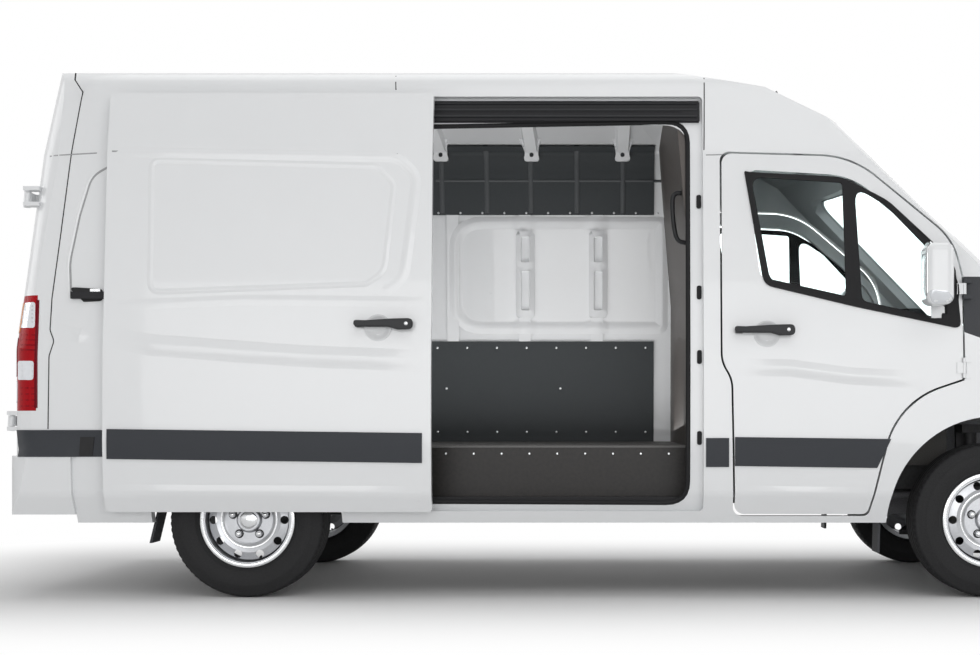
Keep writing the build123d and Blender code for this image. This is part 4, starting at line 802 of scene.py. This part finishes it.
def lining_details():
    """Ribs and screws of the dark linings on the far wall."""
    lining = "side_linings side_panel_left roof wall_posts"
    for i, px in enumerate((442, 487, 531, 577, 623, 668)):
        path = [at(px, 213, FAR_WALL), at(px, 150, FAR_WALL)]
        bead(f"upper_rib_{i}", path, lining, "lining_rib", "van", 0.030, 0.007, "inside_left")
    path = [at(436, 181, FAR_WALL), at(672, 181, FAR_WALL)]
    bead("upper_cross_rib", path, lining, "lining_rib", "van", 0.016, 0.004, "inside_left")
    places = [(px, 212.5) for px in range(438, 665, 22)]
    places += [(px, py) for py in (347, 432) for px in range(436, 680, 30)]
    places += [(px, 388) for px in (445, 560, 672)]
    verts, faces = [], []
    for px, py in places:
        spot = spot_on(*at(px, py, FAR_WALL), lining, "inside_left")
        points, sides = turned(SCREW, spot, (0, -1, 0), SCREW_SIDES)
        end = list(range(len(points) - SCREW_SIDES, len(points)))
        faces += [[len(verts) + i for i in face] for face in (*sides, end)]
        verts += points
    add_hard("lining_screws", mesh_of("lining_screws", verts, faces), "steel", "van")


def far_rect(px_low, py_low, px_high, py_high, *corner):
    """A rectangle of the photograph on the far wall. py_low is its lower edge."""
    return rect(*at(px_low, py_low, FAR_WALL), *at(px_high, py_high, FAR_WALL), *corner)


def wall_pressing():
    """Round-cornered pressing of the far wall, and the slotted posts over it."""
    wall = "side_panel_left wall_posts side_linings"
    corners = ((455, 222, 0.16), (662, 222, 0.02), (662, 327, 0.02), (455, 327, 0.16))
    loop = [(*at(px, py, FAR_WALL), corner) for px, py, corner in corners]
    crease("wall_pressing", loop, wall, "van", 0.075, 0.014, "inside_left", "inner_paint", True)
    for i, (px_low, px_high) in enumerate(((516, 534), (589, 607))):
        heights = ((236, 262), (270, 310))
        slots = [far_rect(px_low + 4.5, low, px_high - 4.5, top, 0.012) for top, low in heights]
        plate = far_rect(px_low, 317, px_high, 231, 0.02)
        sheet(f"post_plate_{i}", plate, wall, "inner_paint", "van", "inside_left", 0.016, 0.014, slots)
        low, high = plate[0], plate[2]
        # A grey sheet behind the slots is painted shade inside the posts
        slot_shade = rect(low[0] + 0.01, low[1] + 0.01, high[0] - 0.01, high[1] - 0.01)
        sheet(f"post_slot_shade_{i}", slot_shade, wall, "seam_and_shade_grey", "van", "inside_left", 0.004, 0.005)
        for k, slot in enumerate(slots):
            lip = f"post_slot_lip_{i}_{k}"
            bead(lip, slot, wall, "inner_paint", "van", 0.012, 0.019, "inside_left", True)


def roof_bow(i, x):
    """A cross member under the roof, with a drilled gusset at its far end."""
    verts = []
    for k in range(BOW_STEPS + 1):
        y = BOW_START + k * BOW_SPAN / BOW_STEPS
        spot = hit("roof", (x, y, 1.5), (0, 0, 1))
        z = spot.z if spot else ROOF_UNDER
        verts += [(x + dx, y, z + dz) for dx, dz in BOW_SECTION]
    wide = len(BOW_SECTION)
    ends = [list(range(wide)), list(range(wide * BOW_STEPS, wide * BOW_STEPS + wide))]
    mesh = mesh_of("bow", verts, quads(BOW_STEPS + 1, wide, False, False) + ends)
    add_piece(f"roof_bow_{i}", mesh, "inner_paint", "van", smooth=False)
    bottom = at(530, 161, 0.80)[1]
    middle = (GUSSET_TOP + bottom) / 2
    plate = [
        (x - 0.062, GUSSET_TOP),
        (x - 0.036, middle, 0.04),
        (x - 0.048, bottom, 0.02),
        (x + 0.048, bottom, 0.02),
        (x + 0.036, middle, 0.04),
        (x + 0.062, GUSSET_TOP),
    ]
    spots = [(x + a, middle + b) for a, b in GUSSET_HOLES]
    holes = [rect(u, v + 0.014, u + 0.024, v - 0.012, 0.012) for u, v in spots]
    wall = "side_linings side_panel_left roof"
    sheet(f"bow_gusset_{i}", plate, wall, "inner_paint", "van", "inside_left", 0.030, 0.027, holes)


STEP_TOP = 0.688
STUD = ((0.006, -0.002), (0.006, 0.001), (0.004, 0.003), (0, 0.003))
STUD_Z = 0.66


def step_well():
    """Dark riser under the cargo floor, its bright edge and studs, and the bars of the step."""
    floor = "cargo_floor"
    x_low = max(at(428, 0, -0.75)[0], R + 0.735)
    x_high = min(at(686, 0, -0.75)[0], R + 2.045)
    sheet("step_riser", rect(x_low, 0.446, x_high, STEP_TOP), floor, "step", "van", lift=0.003, depth=0.004)
    edge = rect(x_low, STEP_TOP + 0.001, x_high, STEP_TOP + 0.0105)
    sheet("floor_edge", edge, floor, "floor_edge", "van", lift=0.005, depth=0.006)
    for k, y in enumerate((-0.84, -0.80, -0.76)):
        spot = hit(floor, (R + 1.3, y, 0.6), (0, 0, -1))
        if spot:
            low, high = (x_low + 0.05, y - 0.008, spot.z - 0.001), (x_high - 0.05, y + 0.008, spot.z + 0.004)
            box(f"step_tread_bar_{k}", low, high, "steel", "van", 0.0015)
    for k in range(9):
        x = x_low + 0.08 + k * (x_high - x_low - 0.16) / 8
        spot = hit(floor, (x, -OUTSIDE, STUD_Z), (0, 1, 0))
        y = spot.y - 0.003 if spot else -0.7
        lathe(f"riser_stud_{k}", STUD, (x, y, STUD_Z), (0, -1, 0), "steel", "van", 12)


def rail_zone():
    """Black track over the doorway, with the bright lips of its rail."""
    names = "side_panel_right roof sliding_door_gear"
    x_low, x_high = R + 0.64, R + 2.092
    low, high = x_low + 0.01, x_high - 0.01
    sheet("track_cover", rect(x_low, 2.206, x_high, 2.312), names, "track", "van", lift=0.004, depth=0.006)
    for k, z in enumerate((2.232, 2.262, 2.296)):
        bead(f"track_lip_{k}", [(low, z), (high, z)], names, "handle", "van", 0.014, 0.010)
    band("track_slot", [(low, 2.279), (high, 2.279)], names, "gap", "van", 0.010, height=0.0055)


GRIP_Y = -0.80
# Pixel of each point of the grab handle, and how far it stands off the partition
GRIP_PX = (
    (688, 193, 0), (681, 194, 0.03), (677, 200, 0.045), (676, 217, 0.05), (677, 234, 0.045),
    (681, 241, 0.03), (688, 243, 0)
)


def partition_handle():
    """Grab handle on the partition, beside the doorway."""
    points = []
    for px, py, out in GRIP_PX:
        z = at(px, py, GRIP_Y)[1]
        spot = hit("partition", (R + 1.5, GRIP_Y, z), (1, 0, 0))
        points.append(Vector(((spot.x if spot else R + 2.0) - out, GRIP_Y, z)))
    tube("partition_handle", smooth_path(points), 0.011, "handle", "van")


def smooth_path(spots, parts=4):
    """A round path through some points in space."""
    result = []
    for i in range(len(spots) - 1):
        before, here = spots[max(i - 1, 0)], spots[i]
        after, later = spots[i + 1], spots[min(i + 2, len(spots) - 1)]
        for k in range(parts):
            t = k / parts
            b = after - before
            c = 2 * before - 5 * here + 4 * after - later
            d = 3 * here - before - 3 * after + later
            result.append((2 * here + b * t + c * t * t + d * t**3) / 2)
    return [*result, spots[-1]]


lining_details()
wall_pressing()
for i, x in enumerate(BOWS):
    roof_bow(i, x)
step_well()
rail_zone()
partition_handle()


# Lamps, rear face, front face, roof and the left side
CLEAR_TOP_PX = ((20.5, 302, 3), (35.5, 302, 3), (35, 328, 3), (20, 328, 3))
CLEAR_LOW_PX = ((18, 361, 3), (34, 361, 3), (33.5, 380, 3), (18, 380, 3))
LAMP_EDGE_PX = ((38, 300), (38, 330), (36, 356), (36, 408))
CLEAR_RIBS_PX = (306, 310, 314, 318, 322, 366, 371, 376)
RED_RIBS_PX = (335, 340, 345, 350, 388, 394, 400, 406)
REAR_LENSES = ((0.90, 1.00, "clear"), (1.02, 1.20, "deep_red"), (1.22, 1.36, "amber"))


def tail_lamp(name, side):
    """Lens bands over the plain red body of a tail lamp."""
    lens = "tail_lamps"
    for key, outline in (("reverse", CLEAR_LOW_PX), ("signal", CLEAR_TOP_PX)):
        sheet(f"lamp_{key}_{name}", traced(outline, lens), lens, "clear", "van", name, step=0.02)
    bead(f"lamp_dark_edge_{name}", traced(LAMP_EDGE_PX, lens), lens, "deep_red", "van", 0.016, 0.002, name)
    # The clear lenses' ribs are beads in the mid grey of painted shade
    for k, py in enumerate(CLEAR_RIBS_PX):
        line = traced([(22, py), (33, py)], lens)
        bead(f"lamp_rib_{name}_{k}", line, lens, "seam_and_shade_grey", "van", 0.004, 0.0045, name)
    for k, py in enumerate(RED_RIBS_PX):
        line = traced([(21, py), (35, py)], lens)
        bead(f"lamp_red_rib_{name}_{k}", line, lens, "deep_red", "van", 0.004, 0.002, name)
    low, high = sorted((side * 0.868, side * 0.965))
    for k, (z_low, z_high, look) in enumerate(REAR_LENSES):
        outline = rect(low, z_low, high, z_high, 0.015)
        sheet(f"lamp_rear_{name}_{k}", outline, lens, look, "van", "rear", step=0.025)


def rear_door(name, side):
    """Pressings, crease and strip of a rear door."""
    door = f"rear_door_{name}"
    low, high = sorted((side * 0.13, side * 0.72))
    window, panel = rect(low, 1.50, high, 2.02, 0.06), rect(low, 0.95, high, 1.34, 0.05)
    crease(f"rear_window_pressing_{name}", window, door, door, 0.05, 0.008, "rear", closed=True)
    crease(f"rear_panel_pressing_{name}", panel, door, door, 0.04, 0.006, "rear", closed=True)
    crease(f"rear_crease_{name}", [(side * 0.02, 1.42), (side * 0.83, 1.42)], door, door, 0.06, 0.006, "rear")
    strip = rect(side * 0.03, STRIP_LOW + 0.04, side * 0.82, STRIP_HIGH)
    sheet(f"rear_strip_{name}", strip, door, "strip", door, "rear", 0.006, 0.010)


FINE_STEP = 0.03

# Corners and corner radius, CAD node under it, look, lift, depth and step
REAR_PATCHES = {
    "rear_plate_surround": ((-0.55, 0.96, -0.13, 1.20, 0.02), REAR_DOOR, "plastic", 0.012, 0.02, SHEET_STEP),
    "rear_plate": ((-0.52, 0.985, -0.16, 1.155, 0.012), REAR_DOOR, "plate", 0.016, 0.005, SHEET_STEP),
    "rear_handle_dish": ((-0.17, 1.20, -0.045, 1.31, 0.02), REAR_DOOR, "plastic", 0.003, 0.006, SHEET_STEP),
    "third_brake_lamp": ((-0.19, 2.335, 0.19, 2.372, 0.012), "roof", "red", 0.006, 0.012, FINE_STEP),
    "bumper_step": ((-0.60, 0.60, 0.60, 0.648, 0.02), "rear_bumper", "plastic", 0.006, 0.012, SHEET_STEP),
    "rear_reflector_right": (
        (-0.70, 0.45, -0.82, 0.49, 0.012), "rear_bumper", "red", 0.004, 0.008, FINE_STEP
    ),
    "rear_reflector_left": ((0.70, 0.45, 0.82, 0.49, 0.012), "rear_bumper", "red", 0.004, 0.008, FINE_STEP),
}
SENSOR = ((0.014, -0.001), (0.014, 0.002), (0.010, 0.003), (0, 0.003))


def rear_face():
    """Blank plate, lamps, handle and parking sensors of the rear."""
    for name, (corners, names, look, lift, depth, step) in REAR_PATCHES.items():
        sheet(name, rect(*corners), names, look, body_of(names), "rear", lift, depth, step=step)
    x = spot_on(-0.10, 1.25, REAR_DOOR, "rear").x
    bar = [(-0.155, 1.262, 0.01), (-0.06, 1.262, 0.01), (-0.06, 1.292, 0.012), (-0.155, 1.292, 0.012)]
    prism("rear_handle", bar, x - 0.034, x - 0.016, "handle", REAR_DOOR, "x", 0.004, 0.02)
    post = ((0.008, 0.0), (0.008, 0.018), (0, 0.018))
    for y in (-0.145, -0.07):
        name = f"rear_handle_post_{abs(y):.3f}"
        lathe(name, post, (x - 0.017, y, 1.277), (1, 0, 0), "handle", REAR_DOOR, 16)
    for k, y in enumerate((-0.52, -0.18, 0.18, 0.52)):
        spot = spot_on(y, 0.54, "rear_bumper", "rear")
        lathe(f"rear_sensor_{k}", SENSOR, spot, (-1, 0, 0), "paint", "van", 20)


FOG_RING = ((0.048, -0.004), (0.048, 0.008), (0.040, 0.009), (0.038, 0.005), (0, 0.003))
FOG_LENS = ((0.037, 0.004), (0.030, 0.010), (0.015, 0.013), (0, 0.014))


def grille_face():
    """Grille bars and frame, the lower intake and a blank plate."""
    grille, bumper = "grille", "front_bumper"
    for k in range(5):
        z = 0.715 + k * 0.058
        bar = rect(-0.425, z, 0.425, z + 0.030, 0.010)
        sheet(f"grille_bar_{k}", bar, grille, "strip", "van", "front", 0.016, 0.018, step=0.04)
        line = [(-0.415, z + 0.015), (0.415, z + 0.015)]
        bead(f"grille_bar_edge_{k}", line, grille, "steel", "van", 0.006, 0.019, "front")
    rim = rect(-0.43, 0.685, 0.43, 0.962, 0.04)
    bead("grille_frame", rim, grille, "plastic", "van", 0.018, 0.018, "front", True)
    low = [(-0.42, 0.40, 0.03), (0.42, 0.40, 0.03), (0.36, 0.53, 0.03), (-0.36, 0.53, 0.03)]
    sheet("bumper_intake", low, bumper, "plastic", "van", "front", 0.004, 0.008)
    for k in range(4):
        z, half = 0.42 + k * 0.029, 0.385 - k * 0.012
        bead(f"intake_bar_{k}", [(-half, z), (half, z)], bumper, "gap", "van", 0.010, 0.007, "front")
    plate = rect(-0.26, 0.555, 0.26, 0.643, 0.008)
    sheet("front_plate", plate, bumper, "plate", "van", "front", 0.012, 0.014)


def fog_lamp(name, side):
    """Fog lamp in its dark recess."""
    fog = [(side * y, z, 0.03) for y, z in ((0.60, 0.42), (0.80, 0.42), (0.78, 0.54), (0.62, 0.54))]
    sheet(f"fog_recess_{name}", fog, "front_bumper", "plastic", "van", "front", 0.004, 0.008, step=0.04)
    spot = spot_on(side * 0.70, 0.48, "front_bumper", "front")
    lathe(f"fog_ring_{name}", FOG_RING, spot, (1, 0, 0), "rim_bright", "van")
    lathe(f"fog_lens_{name}", FOG_LENS, spot, (1, 0, 0), "clear", "van")


REFLECTOR = 0.055
LAMP_RING = ((1, -0.010), (1, 0.005), (0.93, 0.006), (0.86, -0.003), (0.86, -0.012))
LAMP_BULB = ((0.86, -0.006), (0.7, 0.002), (0.4, 0.006), (0, 0.008))


def head_lamp(name, side):
    """Rim, two reflectors with their bulbs, and the amber end of a headlamp."""
    lamp = "headlamps"
    rim = [(side * y, z, 0.03) for y, z in ((0.475, 0.750), (0.80, 0.790), (0.80, 0.955), (0.475, 0.930))]
    bead(f"head_lamp_rim_{name}", rim, lamp, "plastic", "van", 0.020, 0.004, "front", True)
    for k, (y, z) in enumerate(((0.56, 0.840), (0.70, 0.865))):
        spot = spot_on(side * y, z, lamp, "front")
        for key, profile, look in (("ring", LAMP_RING, "rim_bright"), ("bulb", LAMP_BULB, "clear")):
            scaled = [(REFLECTOR * part, height) for part, height in profile]
            lathe(f"head_lamp_{key}_{name}_{k}", scaled, spot, (1, 0, 0), look, "van", 36)
    signal = [(side * y, z, 0.012) for y, z in ((0.79, 0.80), (0.855, 0.82), (0.855, 0.92), (0.79, 0.94))]
    sheet(f"head_lamp_signal_{name}", signal, lamp, "amber", "van", "front", depth=0.006, step=0.025)


WIPER_HUB = ((0.018, -0.012), (0.018, 0.006), (0.012, 0.014), (0, 0.014))


def wiper(name, foot_y, tip_y):
    """Arm and blade lying on the windscreen."""
    tree = surface("windscreen cowl roof")

    def on_glass(y, z, out):
        spot, normal, *_ = tree.ray_cast(Vector((BEYOND, y, z)), Vector((-1, 0, 0)))
        return spot + normal * out if spot else Vector((R + 3.9, y, z))

    foot = on_glass(foot_y, 1.255, 0.012)
    tip = on_glass(tip_y, 1.42, 0.026)
    bend = foot.lerp(tip, 0.3) + Vector((0.012, 0, 0.008))
    tube(f"wiper_arm_{name}", [foot, bend, tip], 0.007, "seal", "van", 10)
    lathe(f"wiper_hub_{name}", WIPER_HUB, foot, (0.69, 0, 0.72), "seal", "van", 20)
    blade = [on_glass(tip_y - t, 1.42 - t * 0.06, 0.012) for t in (-0.28, -0.14, 0, 0.14, 0.28)]
    tube(f"wiper_blade_{name}", blade, 0.007, "seal", "van", 8)


ANTENNA = ((0.022, -0.006), (0.022, 0.004), (0.012, 0.014), (0.006, 0.02), (0, 0.02))
ANTENNA_Y = -0.45


def hood_and_roof():
    """Creases of the hood, ribs of the roof and the short antenna."""
    for name, side in SIDES.items():
        path = [(R + 3.98, side * 0.66, 0.1), (R + 4.20, side * 0.58, 0.1), (R + 4.29, side * 0.52)]
        crease(f"hood_crease_{name}", path, "hood", "hood", 0.05, 0.006, "top")
    crease("hood_middle_crease", [(R + 4.22, -0.28), (R + 4.22, 0.28)], "hood", "hood", 0.05, 0.004, "top")
    for i, y in enumerate((-0.62, -0.37, -0.12, 0.12, 0.37, 0.62)):
        crease(f"roof_rib_{i}", [(R - 0.72, y), (R + 2.0, y)], "roof", "van", 0.05, 0.006, "top", step=0.2)
    x = traced([(787, 97)], "roof", -0.6)[0][0]
    base = hit("roof", (x, ANTENNA_Y, BEYOND), (0, 0, -1)) or Vector((x, ANTENNA_Y, 2.36))
    lathe("antenna_foot", ANTENNA, base, (0.2, 0, 1), "seal", "van", 20)
    rod = [base + Vector((0, 0, 0.01)), base + Vector((-0.035, 0, 0.075))]
    tube("antenna_rod", rod, 0.004, "seal", "van", 8)


ARCH_HALF = 0.478


def left_side():
    """The far side has no sliding door. It carries the same strip, pressings and creases."""
    panel, door = "side_panel_left", "front_door_left"
    for name, low, high in (("rear", R - 1.07, R - ARCH_HALF), ("middle", R + ARCH_HALF, R + 2.16)):
        strip, names = rect(low, STRIP_LOW, high, STRIP_HIGH), f"{panel} rear_bumper roof"
        sheet(f"strip_left_{name}", strip, names, "strip", "van", "left", 0.007, 0.012)
    strip = [(R + 2.225, STRIP_LOW), (R + 2.88, STRIP_LOW), (R + 2.93, STRIP_HIGH), (R + 2.225, STRIP_HIGH)]
    sheet("strip_door_left", strip, door, "strip", door, "left", 0.007, 0.012)
    for k, (low, high) in enumerate(((R - 0.78, R + 0.55), (R + 0.68, R + 2.02))):
        loop = [(low, 1.38, 0.06), (high, 1.38, 0.06), (high, 1.99, 0.10), (low, 1.99, 0.10)]
        crease(f"left_pressing_{k}", loop, panel, "van", 0.05, 0.008, "left", closed=True)
    path = [(R - 0.90, 1.20), (R + 0.4, 1.12, 0.5), (R + 2.15, 1.09)]
    crease("left_crease", path, panel, "van", 0.09, 0.010, "left")
    path = [(R + 2.23, 1.06), (R + 2.7, 1.05, 0.3), (R + 3.13, 1.00)]
    crease("left_door_crease", path, door, door, 0.08, 0.008, "left")
    seam = [(R - 0.98, 2.062), (R + 2.14, 2.058)]
    band("left_roof_seam", seam, f"{panel} roof", "seam_and_shade_grey", "van", 0.008, "left")
    flap = rect(R + 2.06, 1.00, R + 2.17, 1.16, 0.03)
    band("fuel_flap_seam", flap, panel, "gap", "van", 0.005, "left", closed=True)
    y = spot_on(R + 2.32, 1.235, door, "left").y
    lathe("door_handle_left_dish", DISH, (R + 2.395, y, 1.215), (0, 1, 0), "dish", door, 40)
    pull("door_handle_left", R + 2.25, R + 2.53, 1.235, (y + 0.030, y + 0.054), (y - 0.005, y + 0.040), door)


for name, side in SIDES.items():
    tail_lamp(name, side)
    head_lamp(name, side)
    rear_door(name, side)
    fog_lamp(name, side)
rear_face()
grille_face()
hood_and_roof()
wiper("driver", 0.50, 0.18)
wiper("passenger", -0.20, -0.48)
left_side()


# Wheels and tyres. Profiles give (radius, height), the tyre's section (across, radius).
TYRE_RADIUS = 0.356
TRACK_HALF = 0.852
WHEEL_GUESS = 2.1
TREAD_CUTS = 72
BLOCK_CUT = 0.006
GROOVES = (0.062, 0.021)
GROOVE_HALF = 0.0045
GROOVE_SLOPE = 0.0012
WALL = (
    (0.082, 0.2035), (0.082, 0.222), (0.090, 0.224), (0.099, 0.234), (0.1015, 0.236), (0.1040, 0.2375),
    (0.1130, 0.262), (0.1165, 0.276), (0.1168, 0.290), (0.1158, 0.302), (0.1146, 0.3035), (0.1144, 0.306),
    (0.1130, 0.3075), (0.1095, 0.322), (0.1085, 0.3235), (0.1055, 0.336), (0.1010, 0.3465)
)
SHOULDER = ((0.094, 0.3525), (0.083, 0.3545))
# Where each ring lies, its look and its section about that radius
RINGS = {
    "rim_edge": (
        0.209, "rim_bright",
        ((-0.010, -0.004), (-0.010, -0.0005), (-0.007, 0.003), (0.003, 0.0042), (0.009, 0.0030),
         (0.0115, 0.0005), (0.0115, -0.004))
    ),
    "rim_dark_ring": (0.186, "gap", ((-0.004, -0.004), (-0.003, 0.0015), (0.003, 0.0015), (0.004, -0.004))),
    "cover_ring": (
        0.129, "rim_bright",
        ((-0.007, -0.004), (-0.005, 0.0018), (-0.001, 0.0034), (0.003, 0.0026), (0.007, -0.004))
    ),
    # The cover groove is a slightly raised ring whose mid grey is painted shade
    "cover_groove_shade": (
        0.118, "seam_and_shade_grey", ((-0.002, -0.003), (-0.0015, 0.001), (0.0015, 0.001), (0.002, -0.003))
    ),
}
RING_ANGLE = 0.31
WELL_ANGLE = 0.30
BOLTS = 5
BOLT_CIRCLE = 0.080
BOLT_WELL = (
    (0.0205, -0.002), (0.0205, 0.0012), (0.0185, 0.0024), (0.0175, 0.0010), (0.0140, 0.0008), (0.0135, -0.002)
)
BOLT_HEAD = ((0.0112, -0.002), (0.0112, 0.0040), (0.0096, 0.0062), (0.0060, 0.0078), (0, 0.0084))
CAP = (
    (0.041, -0.006), (0.041, 0.0012), (0.0385, 0.0040), (0.0350, 0.0046), (0.0330, 0.0026), (0.0250, 0.0040),
    (0.0120, 0.0062), (0, 0.0068)
)


def tyre_section(cut):
    """The tyre's section as (across, radius), with its shoulders lowered by a cut."""
    half = [*WALL, *((y, r - cut) for y, r in SHOULDER), (0.078, 0.3548)]
    for middle in GROOVES:
        outer, inner = middle + GROOVE_HALF, middle - GROOVE_HALF
        half += [(outer + GROOVE_SLOPE, 0.3554), (outer, 0.3475)]
        half += [(inner, 0.3475), (inner - GROOVE_SLOPE, 0.3558)]
    return [*half, (0.0, 0.3559), *((-y, r) for y, r in reversed(half))]


def tyre(place, side, x):
    """A tyre with grooves round it, cut shoulders and rings on its walls. It has no lettering."""
    count = TREAD_CUTS * 3
    sections = [tyre_section(0 if k % 3 else BLOCK_CUT) for k in range(count)]
    verts = []
    for k, section in enumerate(sections):
        angle = 2 * math.pi * k / count
        for across, radius in section:
            z = TYRE_RADIUS + radius * math.cos(angle)
            verts.append((x + radius * math.sin(angle), side * TRACK_HALF + across, z))
    name = f"tyre_tread_{place}"
    mesh = mesh_of(name, verts, quads(count, len(sections[0]), True, True))
    piece = add_hard(name, mesh, "tyre", f"wheel_{place}", 0.5)
    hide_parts(f"tyre_{place}")


def wheel_details(place, side, x):
    """Rim edge, cover rings, wheel bolts, valve and a bare cap."""
    body = f"wheel_{place}"
    axis = (0, side, 0)

    def face_spot(radius, angle):
        """Point of the wheel's outer face, at an angle from the top."""
        u, v = x + radius * math.sin(angle), TYRE_RADIUS + radius * math.cos(angle)
        return spot_on(u, v, body, "right" if side < 0 else "left", WHEEL_GUESS)

    for name, (radius, look, section) in RINGS.items():
        out = abs(face_spot(radius, RING_ANGLE).y)
        profile = [(radius + r, out + h) for r, h in (*section, section[0])]
        lathe(f"{name}_{place}", profile, (x, 0, TYRE_RADIUS), axis, look, body, 96, False)
    for k in range(BOLTS):
        angle = math.radians(360 / BOLTS * k)
        centre = face_spot(BOLT_CIRCLE, angle)
        foot = (centre.x, face_spot(BOLT_CIRCLE, angle + WELL_ANGLE).y, centre.z)
        lathe(f"bolt_well_{place}_{k}", BOLT_WELL, foot, axis, "gap", body, 28)
        lathe(f"bolt_head_{place}_{k}", BOLT_HEAD, centre, axis, "rim_bright", body, 6)
    cap = face_spot(0.0, 0.0) - Vector((0, side * 0.0015, 0))
    lathe(f"cap_{place}", CAP, cap, axis, "rim_bright", body, 48)
    valve = face_spot(0.178, math.radians(162))
    ends = [valve - Vector((0, side * 0.004, 0)), valve + Vector((0, side * 0.020, -0.004))]
    tube(f"valve_{place}", ends, 0.0045, "seal", body, 12)


for end, x in (("rear", R), ("front", FRONT_AXLE)):
    for name, side in SIDES.items():
        tyre(f"{end}_{name}", side, x)
        wheel_details(f"{end}_{name}", side, x)


# Cloth seats in place of the plain CAD seats. Outlines are seen from the side.
SEAT_BLOCKS = (("driver", 0.20, 0.68), ("middle", -0.20, 0.185), ("window", -0.68, -0.205))
CROWN = 0.018
PAD_ROWS = 15
EDGE_TUCK = 0.020
EDGE_WIDTH = 0.035
CUSHION = (
    (R + 2.235, 0.885, 0.03), (R + 2.690, 0.895, 0.05), (R + 2.688, 0.990, 0.05), (R + 2.500, 0.972, 0.3),
    (R + 2.235, 0.960, 0.05)
)
BACK = (
    (R + 2.245, 0.930, 0.05), (R + 2.352, 0.935, 0.05), (R + 2.235, 1.580, 0.05), (R + 2.150, 1.580, 0.04),
    (R + 2.205, 1.100, 0.2)
)
REST = (
    (R + 2.150, 1.610, 0.03), (R + 2.215, 1.610, 0.03), (R + 2.210, 1.780, 0.04), (R + 2.145, 1.780, 0.04)
)


def middle_of(points):
    """The mean of some flat points."""
    return Vector((sum(p[0] for p in points) / len(points), sum(p[1] for p in points) / len(points)))


def pad(name, outline, low, high, crown):
    """A stuffed cushion: an outline drawn out across the van, with rounded and swollen faces."""
    loop = rounded(outline)
    centre = middle_of(loop)
    count = len(loop)
    verts = []
    for j in range(PAD_ROWS):
        t = j / (PAD_ROWS - 1)
        edge = min(t, 1 - t) * (high - low)
        swell = crown * math.sin(math.pi * t) ** 0.5 if 0 < t < 1 else 0.0
        tuck = EDGE_TUCK * max(0.0, 1 - edge / EDGE_WIDTH) ** 2
        for p in loop:
            spot = p + (p - centre).normalized() * (swell - tuck)
            verts.append((spot.x, low + (high - low) * t, spot.y))
    faces = quads(PAD_ROWS, count, False, True)
    for first, across in ((0, low), ((PAD_ROWS - 1) * count, high)):
        verts.append((centre.x, across, centre.y))
        faces += [[first + i, first + (i + 1) % count, len(verts) - 1] for i in range(count)]
    piece = add_piece(name, mesh_of(name, verts, faces), "cloth", "van")
    return piece


def grown_outline(points, by):
    """The outline pushed away from its middle."""
    moved = []
    for u, v, corner in points:
        away = (Vector((u, v)) - middle_of(points)).normalized() * by
        moved.append((u + away.x, v + away.y, corner))
    return moved


def seat(name, low, high):
    """One seat with its cushion, back, head rest, base, posts and piping."""
    middle = (low + high) / 2
    base_low, base_high = (R + 2.262, low + 0.04, 0.652), (R + 2.680, high - 0.04, 0.885)
    pieces = [
        pad(f"seat_cushion_{name}", CUSHION, low + 0.006, high - 0.006, CROWN),
        pad(f"seat_back_{name}", BACK, low + 0.010, high - 0.010, CROWN * 0.8),
        pad(f"seat_rest_{name}", REST, middle - 0.125, middle + 0.125, 0.012),
        box(f"seat_base_{name}", base_low, base_high, "plastic", "van", 0.012),
    ]
    for key, y in (("a", middle - 0.055), ("b", middle + 0.055)):
        tube(f"rest_post_{name}_{key}", [(R + 2.190, y, 1.560), (R + 2.182, y, 1.625)], 0.006, "steel", "van")
    loop = rounded(grown_outline(BACK, CROWN * 0.72), True, 0.04)
    for k, y in enumerate((low + 0.075, high - 0.075)):
        tube(f"seat_piping_{name}_{k}", [(p.x, y, p.y) for p in loop], 0.004, "seal", "van", 8, True)
    for piece in pieces:
        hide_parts("cab_seats")


for name, low, high in SEAT_BLOCKS:
    seat(name, low, high)
